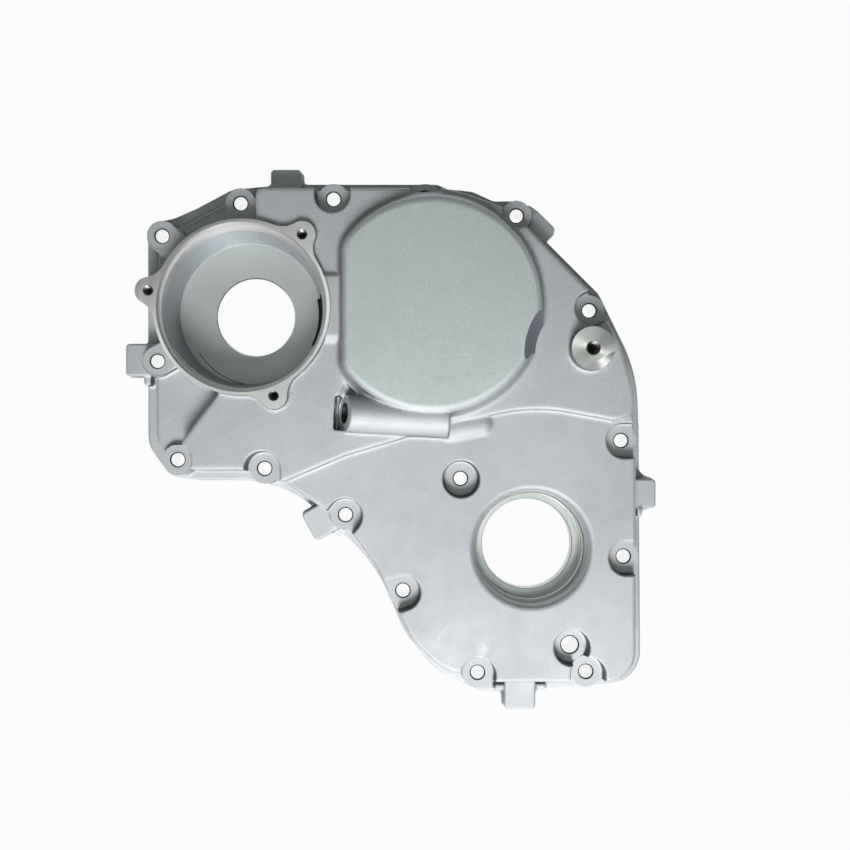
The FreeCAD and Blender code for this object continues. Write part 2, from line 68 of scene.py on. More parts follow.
# Levels above the gasket face
STOCK_BOTTOM = -2.0
CORE_BOTTOM = -4.0
FLANGE_TOP = 6.0
CORNER_FLOOR = 11.0
LUG_TOP = 14.0
LOW_PANEL_TOP = 17.0
SEAT_LEVEL = 20.5
SOUTH_PANEL_TOP = 28.0
NORTH_PANEL_TOP = 31.0
BRIDGE_TOP = 33.5
RING_TOP = 34.5
TALL_BOSS_TOP = 38.0
DOME_TOP = 42.0
OVERHEAD = 60.0
WALL = 4.5
ROOF = 4.5
SIDE_DRAFT = math.tan(math.radians(3.0))
CUP_CENTRE: Point = (-173.2, 143.8)


class Fit(Enum):
    """How one solid meets another."""

    JOIN = "UNION"
    CUT = "DIFFERENCE"


class Finish(Enum):
    """The surfaces that the cover shows."""

    CAST = "die_cast_skin"
    SCOOP = "scooped_flank_skin"
    CUP_FLOOR = "cup_floor_skin"
    RING_FACE = "turned_ring_face"
    CUP_WALL = "turned_cup_wall"
    SEAL_BORE = "turned_seal_bore"
    BOSS_FACE = "milled_boss_face"
    PORT_FACE = "milled_port_face"
    GASKET_FACE = "milled_gasket_face"
    HOLE = "drilled_hole"
    HOLE_EDGE = "hole_edge"
    BLACK_HOLE = "cast_hole"
    DARK_BORE = "port_bore"
    THREAD = "tapped_thread"


def polar(centre: Point, angle: float, length: float) -> Point:
    """Point at an angle in degrees and a length from a centre.

    Args:
        centre: Where the length starts.
        angle: Direction in degrees, anticlockwise from the x axis.
        length: Distance from the centre.

    Returns:
        The point.
    """
    return (
        centre[0] + length * math.cos(math.radians(angle)),
        centre[1] + length * math.sin(math.radians(angle)),
    )


def arc(centre: Point, radius: float, start: float, end: float, count: int) -> list[Point]:
    """Points along an arc.

    Args:
        centre: Centre of the arc.
        radius: Its radius.
        start: First angle in degrees.
        end: Last angle in degrees, smaller than start for a clockwise arc.
        count: Number of steps.

    Returns:
        The points from start to end, both included.
    """
    return [polar(centre, start + (end - start) * k / count, radius) for k in range(count + 1)]


def circle(centre: Point, radius: float, count: int = 64) -> list[Point]:
    """Points of a full circle."""
    return arc(centre, radius, 0.0, 360.0, count)[:-1]


@dataclass(frozen=True)
class Outline:
    """Closed outline of straight sides with rounded corners, anticlockwise.

    Attributes:
        corners: Place and radius of each corner.
        least: Smallest radius that a grown corner keeps.
    """

    corners: tuple[Corner, ...]
    least: float = 0.4

    def grown(self, grow: float) -> list[Corner]:
        """Corners of the outline with every side moved outwards.

        Args:
            grow: Distance, negative to move inwards.

        Returns:
            The moved corners with their new radii.
        """
        moved: list[Corner] = []
        count = len(self.corners)
        for i, (x, y, radius) in enumerate(self.corners):
            before = (Vector((x, y)) - Vector(self.corners[i - 1][:2])).normalized()
            after = (Vector(self.corners[(i + 1) % count][:2]) - Vector((x, y))).normalized()
            out_before = Vector((before.y, -before.x))
            out_after = Vector((after.y, -after.x))
            step = (out_before + out_after) * (grow / (1 + out_before.dot(out_after)))
            turn = 1.0 if before.x * after.y - before.y * after.x > 0 else -1.0
            rounded = max(radius + turn * grow, self.least) if radius > 0 else 0.0
            moved.append((x + step.x, y + step.y, rounded))
        return moved

    def points(self, grow: float = 0.0) -> list[Point]:
        """Points of the outline, as many for every grow, so that sections can be joined.

        Args:
            grow: Distance by which every side is moved outwards.

        Returns:
            The points, anticlockwise.
        """
        corners = self.grown(grow)
        count = len(corners)
        found: list[Point] = []
        for i, (x, y, radius) in enumerate(corners):
            here = Vector((x, y))
            back = (Vector(corners[i - 1][:2]) - here).normalized()
            ahead = (Vector(corners[(i + 1) % count][:2]) - here).normalized()
            half = back.angle(ahead) / 2
            turn = math.pi - 2 * half
            steps = max(2, math.ceil(max(turn / 0.16, self.corners[i][2] * turn / 2.0)))
            if self.corners[i][2] <= 0:
                found.append((x, y))
                continue
            centre = here + (back + ahead).normalized() * (radius / math.sin(half))
            first = here + back * (radius / math.tan(half)) - centre
            last = here + ahead * (radius / math.tan(half)) - centre
            start = math.degrees(math.atan2(first.y, first.x))
            end = math.degrees(math.atan2(last.y, last.x))
            sweep = (end - start + 180.0) % 360.0 - 180.0
            found += arc((centre.x, centre.y), radius, start, start + sweep, steps)
        return found


def placed_outline(shape: Sequence[Corner], at: Point, angle: float) -> Outline:
    """Outline given in a frame of its own.

    Args:
        shape: Corners in a frame whose first axis points along the angle.
        at: Origin of that frame.
        angle: Direction of its first axis in degrees.

    Returns:
        The outline in the cover's frame.
    """
    c, s = math.cos(math.radians(angle)), math.sin(math.radians(angle))
    return Outline(tuple((at[0] + a * c - b * s, at[1] + a * s + b * c, r) for a, b, r in shape))


def deselect_everything() -> None:
    """Leave no object selected."""
    bpy.ops.object.select_all(action="DESELECT")


def make_active(obj: bpy.types.Object) -> None:
    """Select one object alone and make it active.

    Args:
        obj: The object.
    """
    deselect_everything()
    obj.select_set(True)
    bpy.context.view_layer.objects.active = obj


@contextmanager
def editing(obj: bpy.types.Object) -> Iterator[bpy.types.Mesh]:
    """Edit mode on one object, with object mode again at the end.

    Args:
        obj: The object.

    Yields:
        Its mesh.
    """
    make_active(obj)
    bpy.ops.object.mode_set(mode="EDIT")
    try:
        yield obj.data
    finally:
        bpy.ops.object.mode_set(mode="OBJECT")


def apply_modifier(obj: bpy.types.Object, modifier: bpy.types.Modifier) -> None:
    """Apply one modifier to its object.

    Args:
        obj: The object.
        modifier: Its modifier.
    """
    make_active(obj)
    bpy.ops.object.modifier_apply(modifier=modifier.name)


def loft(name: str, sections: Sequence[Section], finish: Finish = Finish.CAST) -> bpy.types.Object:
    """Closed solid through flat sections of as many points each, from the lowest to the highest.

    Args:
        name: Name of the new object.
        sections: Points and level of each section.
        finish: Finish that its faces carry, and leave where they cut.

    Returns:
        The new object, with its place in its mesh.
    """
    deselect_everything()
    points, level = sections[0]
    bpy.ops.mesh.primitive_circle_add(vertices=len(points), radius=MM, fill_type="NGON")
    obj = bpy.context.object
    obj.name = name
    for vertex, (x, y) in zip(obj.data.vertices, points):
        vertex.co = (x * MM, y * MM, level * MM)
    order = obj.data.attributes.new("order", "INT", "POINT")
    order.data.foreach_set("value", range(len(points)))
    for points, following in sections[1:]:
        with editing(obj):
            rise = (0, 0, (following - level) * MM)
            bpy.ops.mesh.extrude_region_move(TRANSFORM_OT_translate={"value": rise})
        level = following
        numbers = obj.data.attributes["order"].data
        for vertex in obj.data.vertices:
            if vertex.select:
                x, y = points[numbers[vertex.index].value]
                vertex.co = (x * MM, y * MM, level * MM)
    with editing(obj):
        bpy.ops.mesh.select_all(action="SELECT")
        bpy.ops.mesh.normals_make_consistent(inside=False)
    obj.data.attributes.remove(obj.data.attributes["order"])
    obj.data.materials.append(surface(finish))
    return obj


def column(
    name: str, centre: Point, profile: Sequence[Point], count: int = 64, finish: Finish = Finish.CAST
) -> bpy.types.Object:
    """Solid turned about an upright axis.

    Args:
        name: Name of the new object.
        centre: Place of the axis.
        profile: Radius and level pairs from the lowest to the highest.
        count: Number of sides.
        finish: Finish that its faces carry.

    Returns:
        The new object.
    """
    return loft(name, [(circle(centre, radius, count), z) for radius, z in profile], finish)


def prism(name: str, outline: Outline, low: float, high: float) -> bpy.types.Object:
    """Straight solid on an outline."""
    return loft(name, [(outline.points(), low), (outline.points(), high)])


def bar(start: float, end: float, half: float) -> list[Corner]:
    """Corners of a straight bar along the first axis of a frame of its own.

    Args:
        start: Where the bar starts along that axis.
        end: Where it ends.
        half: Half its width.

    Returns:
        Its four sharp corners, anticlockwise.
    """
    return [(start, -half, 0), (end, -half, 0), (end, half, 0), (start, half, 0)]


def quarter_round(top: float, radius: float, steps: int = 4) -> list[Point]:
    """Steps of a rounded top edge.

    Args:
        top: Level of the top.
        radius: Radius of the round.
        steps: Number of bands.

    Returns:
        How far the outline grows and the level of each step.
    """
    turns = [math.pi / 2 * k / steps for k in range(steps + 1)]
    return [(-radius * (1 - math.cos(a)), top - radius * (1 - math.sin(a))) for a in turns]


def drill_profile(radius: float, chamfer: float, top: float) -> list[Point]:
    """Profile of a through hole from the gasket face up, with both of its edges broken.

    Args:
        radius: Radius of the hole.
        chamfer: Width of the broken edges.
        top: Level of the face that it comes out of.

    Returns:
        Radius and level pairs from below the lower face to above the upper one.
    """
    edge = radius + chamfer
    return [(edge + 3, -3), (edge, 0), (radius, chamfer), (radius, top - chamfer), (edge + 1, top + 1)]


def turn_to(direction: Vector, at: Vector) -> Matrix:
    """Matrix that stands a turned solid along a direction.

    Args:
        direction: Where its upright axis goes, a unit vector.
        at: Where its origin goes, in millimetres.

    Returns:
        The matrix in metres.
    """
    return Matrix.Translation(at * MM) @ direction.to_track_quat("Z", "Y").to_matrix().to_4x4()


def recolour(obj: bpy.types.Object, finish: Finish, low: float, high: float, up: float = 0.5) -> None:
    """Give the nearly level faces between two levels another finish.

    Args:
        obj: The cutter whose faces are picked.
        finish: Their new finish.
        low: Lowest level of a picked face's centre.
        high: Highest level.
        up: How level a face has to be, from 0 for any face to 1.
    """
    obj.data.materials.append(surface(finish))
    index = len(obj.data.materials) - 1
    for face in obj.data.polygons:
        if low * MM <= face.center.z <= high * MM and abs(face.normal.z) >= up:
            face.material_index = index


def fit(target: bpy.types.Object, tools: Sequence[bpy.types.Object], how: Fit) -> bpy.types.Object:
    """Join solids to a target or cut them out of it, and use them up.

    Args:
        target: The solid that is kept.
        tools: The solids that are joined or cut, in order.
        how: Join or cut.

    Returns:
        The target.
    """
    for tool in tools:
        boolean = target.modifiers.new("fit", "BOOLEAN")
        boolean.operation = how.value
        boolean.solver = "MANIFOLD"
        boolean.material_mode = "TRANSFER"
        boolean.object = tool
        apply_modifier(target, boolean)
        bpy.data.objects.remove(tool)
    return target


@dataclass
class Panels:
    """The flange and the four raised panels with their drafted sides.

    Attributes:
        edge_round: Radius of a panel's top edge.
        wall_draft: How much thinner a wall is at the flange and thicker at the roof.
        flange: Outline of the flange.
        low: Outline of the low panel by the left lug.
        south: Outline of the lower panel round the crankshaft.
        north: Outline of the upper panel round the dome.
        corner: Outline of the low corner by the accessory housing.
    """

    edge_round: float = 2.0
    wall_draft: float = 0.6
    flange: Outline = Outline((
        (-237.3, 61.5, 16), (-223.5, 42.0, 12), (-204.0, 39.3, 12), (-152.3, 39.3, 70),
        (-94.9, -12.0, 100), (-76.2, -56.3, 50), (-55.8, -80.5, 34), (-27.2, -93.6, 32),
        (71.8, -87.0, 20), (70.8, 72.0, 40), (69.4, 107.8, 90), (45.5, 156.5, 10),
        (12.0, 190.0, 1.5), (5.0, 207.3, 1.5), (-3.0, 214.9, 8), (-20.5, 214.6, 6),
        (-34.0, 220.8, 12), (-49.0, 222.2, 6), (-56.0, 225.2, 8), (-150.0, 225.2, 90),
        (-184.5, 222.0, 14), (-207.0, 210.0, 30), (-221.0, 203.8, 12), (-237.6, 200.5, 11),
    ))
    low: Outline = Outline((
        (-229.3, 65.0, 14), (-217.0, 47.0, 10), (-200.0, 46.5, 10), (-150.0, 46.5, 10),
        (-150.0, 118.0, 10), (-229.3, 118.0, 8),
    ))
    south: Outline = Outline((
        (-149.0, 39.5, 8), (-112.5, 14.5, 60), (-93.5, -11.0, 60), (-72.5, -55.0, 40),
        (-55.0, -72.5, 30), (-22.0, -81.0, 24), (62.8, -80.6, 18), (62.8, 60.0, 20),
        (60.5, 96.0, 20), (-149.0, 96.0, 8),
    ))
    north: Outline = Outline((
        (-150.2, 39.1, 10), (-112.0, 55.5, 50), (-43.0, 75.9, 80), (1.9, 84.9, 105),
        (50.0, 76.2, 10), (60.5, 80.5, 8), (61.2, 93.0, 24), (52.5, 122.5, 40), (35.5, 153.0, 8),
        (-13.5, 202.9, 20), (-38.0, 212.0, 20), (-54.0, 215.9, 6), (-165.7, 215.9, 5),
        (-165.7, 150.0, 6), (-187.6, 93.5, 6), (-211.5, 62.0, 8), (-206.0, 46.8, 6),
        (-172.0, 46.8, 16),
    ))
    corner: Outline = Outline((
        (-229.5, 100.0, 10), (-150.0, 100.0, 10), (-150.0, 216.5, 5), (-184.0, 213.5, 10),
        (-219.0, 195.5, 8), (-229.5, 188.0, 8),
    ))

    def levels(self) -> list[tuple[str, Outline, float]]:
        """Name, outline and top of each panel."""
        return [
            ("corner_panel", self.corner, CORNER_FLOOR),
            ("low_panel", self.low, LOW_PANEL_TOP),
            ("south_panel", self.south, SOUTH_PANEL_TOP),
            ("north_panel", self.north, NORTH_PANEL_TOP),
        ]

    def raised(self, name: str, outline: Outline, top: float, low: float) -> bpy.types.Object:
        """One panel.

        Args:
            name: Name of the new object.
            outline: Outline at its top edge.
            top: Level of its top.
            low: Level where it starts.

        Returns:
            The panel with drafted sides and a rounded top edge.
        """
        sections = [(outline.points((top - low) * SIDE_DRAFT), low)]
        sections += [(outline.points(grow), z) for grow, z in quarter_round(top, self.edge_round)]
        return loft(name, sections)

    def solids(self) -> list[bpy.types.Object]:
        """Flange and panels."""
        flange = prism("flange", self.flange, STOCK_BOTTOM, FLANGE_TOP)
        return [flange] + [self.raised(n, o, top, STOCK_BOTTOM) for n, o, top in self.levels()]

    def hollows(self) -> list[bpy.types.Object]:
        """Spaces inside the panels that carry the gears.

        Returns:
            One cutter for each panel but the low corner.
        """
        spaces = []
        for name, outline, top in self.levels()[1:]:
            roof = top - ROOF
            low, high = outline.points(-WALL + self.wall_draft), outline.points(-WALL - self.wall_draft)
            spaces.append(loft(f"{name}_hollow", [(low, CORE_BOTTOM), (high, roof)]))
        return spaces


@dataclass
class Bolts:
    """Cover bolt seats, the dowel and their columns inside.

    Attributes:
        hole: Radius of a bolt hole.
        seat: Radius of a seat as it is cast.
        stock: Height that is left on a seat for its spot face.
        column: Radius of the column round a hole inside the hollow.
        column_draft: How much wider that column is under the roof.
        chamfer: Width of a hole's broken edge.
        spot_face: Radius of the spot face on a bare seat.
        recess: Radius of the recess over a sunk seat.
        recess_foot: Growth and rise of each step at the foot of a recess.
        mouth_round: Radius of a recess's rounded mouth.
        pocket_draft: How much a cast pocket narrows to its seat and widens to its mouth.
        strap_end: Distance from the cup's axis at which a bare boss's strap ends.
        dark: Holes whose walls are painted near black as painted shade, so that they show no light.
        dowel: Place of the dowel hole.
        dowel_hole: Its radius.
        dowel_seat: Radius of its seat.
        dowel_facing: Direction in which its column joins the wall.
        centre: Place of the bolt amid the cover.
        in_north: Bolts whose recess opens in the upper panel.
        tight: Recesses of another radius.
        places: Place of each bolt, whether it is sunk, and the direction in which it runs out.
    """

    hole: float = 4.05
    seat: float = 9.4
    stock: float = 0.5
    column: float = 10.5
    column_draft: float = 1.0
    chamfer: float = 0.75
    spot_face: float = 8.9
    recess: float = 10.2
    recess_foot: tuple[Point, ...] = ((-1.5, 0.0), (-0.75, 0.12), (-0.25, 0.5), (0.0, 1.2))
    mouth_round: float = 1.2
    pocket_draft: float = 0.4
    strap_end: float = 48.0
    dark: tuple[str, ...] = ("top_dome",)
    dowel: Point = (24.2, -59.9)
    dowel_hole: float = 5.1
    dowel_seat: float = 9.6
    dowel_facing: float = 300.0
    centre: Point = (-42.4, 41.4)
    in_north: tuple[str, ...] = (
        "bottom_left", "left_bay", "top_middle", "top_dome", "top_right", "right_shoulder",
    )
    tight: dict[str, float] = field(default_factory=lambda: {
        "top_right": 9.4, "centre": 10.6, "dowel": 10.4,
    })
    places: dict[str, tuple[float, float, bool, float]] = field(default_factory=lambda: {
        "corner": (-224.2, 189.1, False, 0.0),
        "top_left": (-176.3, 209.0, False, 90.0),
        "left": (-227.0, 112.8, False, 180.0),
        "bottom_left": (-214.6, 52.8, True, 215.0),
        "left_bay": (-161.7, 47.5, True, 270.0),
        "top_middle": (-119.7, 211.6, True, 90.0),
        "top_dome": (-64.0, 211.6, True, 90.0),
        "top_right": (-8.3, 201.4, True, 75.0),
        "right_shoulder": (36.0, 143.6, True, 28.0),
        "right_upper": (55.4, 64.5, True, 0.0),
        "left_waist": (-112.4, 19.3, True, 232.0),
        "left_hip": (-77.4, -26.8, True, 200.0),
        "bottom_left_corner": (-32.0, -76.8, True, 262.0),
        "right_lower": (56.9, -6.0, True, 0.0),
        "bottom_right": (34.0, -76.2, True, 270.0),
    })

    @property
    def way_out(self) -> float:
        """Length that is sure to run out of the casting from a bolt."""
        return 3 * self.seat

    def bosses(self) -> list[bpy.types.Object]:
        """Round bosses up to the seats, with straps to the ring on the three bare ones.

        Returns:
            The solids.
        """
        made = []
        for name, (x, y, sunk, _) in self.places.items():
            foot = self.seat + (SEAT_LEVEL - STOCK_BOTTOM) * SIDE_DRAFT / 2
            profile = [(foot, STOCK_BOTTOM), (self.seat, SEAT_LEVEL + self.stock)]
            made.append(column(f"boss_{name}", (x, y), profile))
            if sunk:
                continue
            toward = Vector(CUP_CENTRE) - Vector((x, y))
            angle = math.degrees(math.atan2(toward.y, toward.x))
            reach = toward.length - self.strap_end
            shape = placed_outline(bar(0, reach, self.seat), (x, y), angle)
            made.append(prism(f"strap_{name}", shape, STOCK_BOTTOM, SEAT_LEVEL + self.stock))
        return made

    def pockets(self) -> list[bpy.types.Object]:
        """Cast recesses over the seats that are sunk in a panel, with a flared mouth.

        Returns:
            The cutters.
        """
        low, draft = SEAT_LEVEL + self.stock, self.pocket_draft
        mouth = [(self.seat - draft, low), (self.seat + draft, DOME_TOP)]
        made = [column("pocket_centre", self.centre, mouth)]
        wide = [(self.dowel_seat - draft, low), (self.dowel_seat + draft, DOME_TOP)]
        made.append(column("pocket_dowel", self.dowel, wide))
        for name, (x, y, sunk, facing) in self.places.items():
            if not sunk:
                continue
            made.append(column(f"pocket_{name}", (x, y), mouth))
            shape = placed_outline(bar(0, self.way_out, self.seat), (x, y), facing)
            made.append(prism(f"way_out_{name}", shape, low, DOME_TOP))
        return made

    def recess_profile(self, top: float) -> list[Point]:
        """How a seat's recess grows from its foot radius to its rounded mouth.

        Args:
            top: Level of the panel round the recess.

        Returns:
            Growth and level of each step.
        """
        foot = [(grow, SEAT_LEVEL + rise) for grow, rise in self.recess_foot]
        edge, spread = self.mouth_round, (top - SEAT_LEVEL) * SIDE_DRAFT
        mouth = [(spread - grow, z) for grow, z in quarter_round(top, edge)]
        return foot + mouth + [(spread + 2.5 * edge, top + 0.25 * edge), (spread + 2.5 * edge, top + 6.0)]

    def recesses(self) -> list[bpy.types.Object]:
        """Crisp recesses and spot faces that bring every seat to its level.

        Returns:
            The cutters.
        """
        made = []
        alone = {"centre": self.centre, "dowel": self.dowel}
        for name, at in alone.items():
            profile = [(self.tight[name] + grow, z) for grow, z in self.recess_profile(SOUTH_PANEL_TOP)]
            made.append(column(f"recess_{name}", at, profile, count=96))
        run = self.way_out
        for name, (x, y, sunk, facing) in self.places.items():
            if not sunk:
                flat = [(self.spot_face, SEAT_LEVEL), (self.spot_face + 0.3, SEAT_LEVEL + 4.0)]
                made.append(column(f"spot_face_{name}", (x, y), flat, count=72))
            elif name not in self.dark:
                r = self.tight.get(name, self.recess)
                rounded = r - 0.05
                ends = [(-r, -r, rounded), (run, -r, 0), (run, r, 0), (-r, r, rounded)]
                shape = placed_outline(ends, (x, y), facing)
                top = NORTH_PANEL_TOP if name in self.in_north else SOUTH_PANEL_TOP
                sections = [(shape.points(grow), z) for grow, z in self.recess_profile(top)]
                made.append(loft(f"recess_{name}", sections))
        return made

    def pads(self) -> list[bpy.types.Object]:
        """Columns that carry the holes inside the hollow and run out into the wall.

        Returns:
            Solids that stay when the hollow is cut.
        """
        spots = {n: (x, y, facing) for n, (x, y, _, facing) in self.places.items()}
        spots["dowel"] = (*self.dowel, self.dowel_facing)
        profile = [(self.column, CORE_BOTTOM), (self.column + self.column_draft, DOME_TOP)]
        made = []
        for name, (x, y, facing) in spots.items():
            made.append(column(f"pad_{name}", (x, y), profile))
            shape = placed_outline(bar(0, 2 * self.column, self.column), (x, y), facing)
            made.append(prism(f"pad_root_{name}", shape, CORE_BOTTOM, DOME_TOP))
        made.append(column("pad_centre", self.centre, profile))
        return made

    def drills(self) -> list[bpy.types.Object]:
        """Through holes with a small chamfer at both ends.

        Returns:
            The cutters, with the finishes that they leave.
        """
        made = []
        spots = [(n, (x, y), self.hole) for n, (x, y, _, _) in self.places.items()]
        spots.append(("centre", self.centre, self.hole))
        spots.append(("dowel", self.dowel, self.dowel_hole))
        for name, at, radius in spots:
            profile = drill_profile(radius, self.chamfer, SEAT_LEVEL)
            # Holes listed as dark get walls painted near black: painted shade.
            wall = Finish.BLACK_HOLE if name in self.dark else Finish.HOLE
            drill = column(f"drill_{name}", at, profile, 48, wall)
            # The broken edge at the seat is painted near black: a painted shadow ring round the hole.
            recolour(drill, Finish.HOLE_EDGE, SEAT_LEVEL - self.chamfer, SEAT_LEVEL + 0.6, 0.0)
            made.append(drill)
        return made


@dataclass
class Lugs:
    """Cast lugs that hold the casting for machining, and the small beads beside them.

    Attributes:
        bottom: Level of their undersides.
        root: How far they reach into the flange.
        corner: Size of their clipped corners.
        edge_round: Radius of their top edge.
        places: Place of each lug, its direction, width and reach, and the radius of its hollow foot.
        bridge: Outline of the metal between the upper right lug and its bolt.
        beads: Place of each bead, its half width and half depth, and its top.
    """

    bottom: float = 1.5
    root: float = 14.0
    corner: float = 1.5
    edge_round: float = 0.6
    places: tuple[tuple[float, float, float, float, float, float], ...] = (
        (-149.6, 223.0, 90.0, 19.0, 8.9, 5.0),
        (-236.0, 114.3, 180.0, 20.0, 12.8, 4.0),
        (70.0, 31.6, 0.0, 18.0, 9.0, 8.8),
        (-5.1, -91.0, 270.0, 19.2, 10.7, 6.0),
        (4.4, 193.6, 45.0, 17.2, 10.1, 3.0),
        (-124.8, 16.6, 209.5, 19.4, 12.6, 4.0),
    )
    bridge: Outline = Outline((
        (-8.3, 201.4, 0), (-3.0, 188.0, 0), (4.4, 193.6, 0), (7.0, 205.6, 1.5), (-0.3, 211.0, 3.0),
    ))
    beads: tuple[tuple[float, float, float, float, float], ...] = (
        (-235.6, 101.8, 2.2, 3.2, 13.0),
        (68.6, 20.2, 1.6, 2.6, 15.0),
        (-17.6, -88.6, 3.0, 1.8, 12.5),
        (8.2, -88.2, 3.2, 1.8, 12.5),
    )

    def solids(self) -> list[bpy.types.Object]:
        """Lugs with their webs, and the beads.

        Returns:
            The solids.
        """
        made = []
        for number, (x, y, angle, width, reach, hollow) in enumerate(self.places):
            half, cut, root = width / 2, self.corner, self.root
            clipped = (
                (-root, -half, 0), (reach - cut, -half, 0), (reach, cut - half, 0),
                (reach, half - cut, 0), (reach - cut, half, 0), (-root, half, 0),
            )
            block = placed_outline(clipped, (x, y), angle)
            spread = SIDE_DRAFT * (LUG_TOP - self.bottom)
            sections = [(block.points(spread), self.bottom)]
            sections += [(block.points(g), z) for g, z in quarter_round(LUG_TOP, self.edge_round)]
            made.append(loft(f"lug_{number}", sections))
            side = half + spread
            foot = side + hollow
            hollowed = (
                (-root, -foot, 0), (0, -foot, 0), (0, -side, hollow), (reach, -side, 0),
                (reach, side, 0), (0, side, hollow), (0, foot, 0), (-root, foot, 0),
            )
            web = placed_outline(hollowed, (x, y), angle)
            made.append(prism(f"web_{number}", web, self.bottom, FLANGE_TOP))
        sections = [(self.bridge.points(g), z) for g, z in quarter_round(LUG_TOP - 0.5, self.edge_round)]
        made.append(loft("lug_bridge", [(self.bridge.points(0.3), self.bottom)] + sections))
        for number, (x, y, wide, deep, top) in enumerate(self.beads):
            shape = Outline((
                (x - wide, y - deep, 1.2), (x + wide, y - deep, 1.2),
                (x + wide, y + deep, 1.2), (x - wide, y + deep, 1.2),
            ))
            sections = [(shape.points(0.8), STOCK_BOTTOM), (shape.points(0.0), top)]
            made.append(loft(f"bead_{number}", sections))
        return made


@dataclass
class GearDome:
    """Dome over the large gear, flat beside the accessory and scooped out at the lower right.

    Attributes:
        centre: Axis of its round flank.
        radius: Radius of that flank at half its height.
        flat_distance: Distance from the axis to the flat beside the accessory.
        flat_corner: Radius of the two corners of the flat.
        scoop_angle: Direction of the scoop's axis.
        scoop_distance: Distance of that axis.
        scoop_low: Radius of the scoop at the panel.
        scoop_high: Its radius at the dome's top.
        scoop_inner: Radius that the scoop leaves alone, where the tall boss stands.
        edge_round: Radius of the top edge.
        crown_widening: How much wider that edge's round is left and right.
        foot_round: Size of the fillet at the foot.
        draft: Lean of the flank in degrees.
        bridge: Top of the bridge to the accessory.
        bridge_foot: Foot of its slopes.
    """

    centre: Point = (-60.2, 144.5)
    radius: float = 65.5
    flat_distance: float = 54.3
    flat_corner: float = 14.0
    scoop_angle: float = -17.0
    scoop_distance: float = 98.5
    scoop_low: float = 32.6
    scoop_high: float = 40.8
    scoop_inner: float = 20.0
    edge_round: float = 5.5
    crown_widening: float = 2.4
    foot_round: float = 2.4
    draft: float = 8.0
    bridge: Outline = Outline((
        (-125.7, 127.2, 0), (-107.7, 127.2, 0), (-107.7, 162.4, 0), (-125.7, 162.4, 0),
    ))
    bridge_foot: Outline = Outline((
        (-125.7, 122.4, 0), (-107.7, 122.4, 0), (-107.7, 165.2, 0), (-125.7, 165.2, 0),
    ))

    def outline(self, grow: float) -> list[Point]:
        """Plan of the dome.

        Args:
            grow: Distance by which it is moved outwards.

        Returns:
            Its points, anticlockwise.
        """
        radius, corner, distance = self.radius + grow, self.flat_corner, self.flat_distance + grow
        side = math.sqrt((radius - corner) ** 2 - (distance - corner) ** 2)
        half = math.degrees(math.atan2(side, distance - corner))
        foot = (self.centre[0] - distance + corner, self.centre[1])
        found = arc(self.centre, radius, half - 180.0, 180.0 - half, 220)[1:-1]
        found += arc((foot[0], foot[1] + side), corner, 180.0 - half, 180.0, 10)
        found += arc((foot[0], foot[1] - side), corner, 180.0, 180.0 + half, 10)
        return found

    def solids(self) -> list[bpy.types.Object]:
        """Dome and the bridge to the accessory.

        Returns:
            The solids.
        """
        spread = (DOME_TOP - NORTH_PANEL_TOP) * math.tan(math.radians(self.draft)) / 2
        foot = spread + self.foot_round
        sections = [(self.outline(foot), CORNER_FLOOR), (self.outline(foot), NORTH_PANEL_TOP)]
        near = 0.3 * self.foot_round
        sections.append((self.outline(spread + near), NORTH_PANEL_TOP + near))
        sections.append((self.outline(spread), NORTH_PANEL_TOP + self.foot_round))
        middle = self.centre[0]
        for grow, z in quarter_round(DOME_TOP, self.edge_round, steps=8):
            wider = 1.0 - self.crown_widening * grow / self.edge_round / self.radius
            crown = [(middle + (x - middle) * wider, y) for x, y in self.outline(grow - spread)]
            sections.append((crown, z))
        web = [(self.bridge_foot.points(), SOUTH_PANEL_TOP), (self.bridge_foot.points(), NORTH_PANEL_TOP)]
        web.append((self.bridge.points(), BRIDGE_TOP))
        return [loft("dome", sections), loft("bridge", web)]

    def scoop(self) -> bpy.types.Object:
        """Ring-shaped bite round the tall boss that takes a lens off the dome's flank.

        Returns:
            The cutter.
        """
        at = polar(self.centre, self.scoop_angle, self.scoop_distance)
        slope = (self.scoop_high - self.scoop_low) / (DOME_TOP - NORTH_PANEL_TOP)
        profile = [
            (self.scoop_low, NORTH_PANEL_TOP + 0.2), (self.scoop_high, DOME_TOP),
            (self.scoop_high + 4 * slope, DOME_TOP + 4),
        ]
        kept = column("scoop_kept", at, [(self.scoop_inner, LOW_PANEL_TOP), (self.scoop_inner, OVERHEAD)])
        bite = column("dome_scoop", at, profile, count=200)
        # The scooped lens gets the darker skin, painted shade on the flank.
        recolour(bite, Finish.SCOOP, NORTH_PANEL_TOP + 1.0, OVERHEAD, 0.0)
        return fit(bite, [kept], Fit.CUT)

    def hollow(self) -> bpy.types.Object:
        """Space inside the dome.

        Returns:
            The cutter.
        """
        roof = DOME_TOP - ROOF
        sections = [(self.outline(-WALL), CORE_BOTTOM), (self.outline(-WALL), NORTH_PANEL_TOP)]
        sections += [(self.outline(grow - WALL - 1.0), z) for grow, z in quarter_round(roof, 3.0)]
        return loft("dome_hollow", sections)


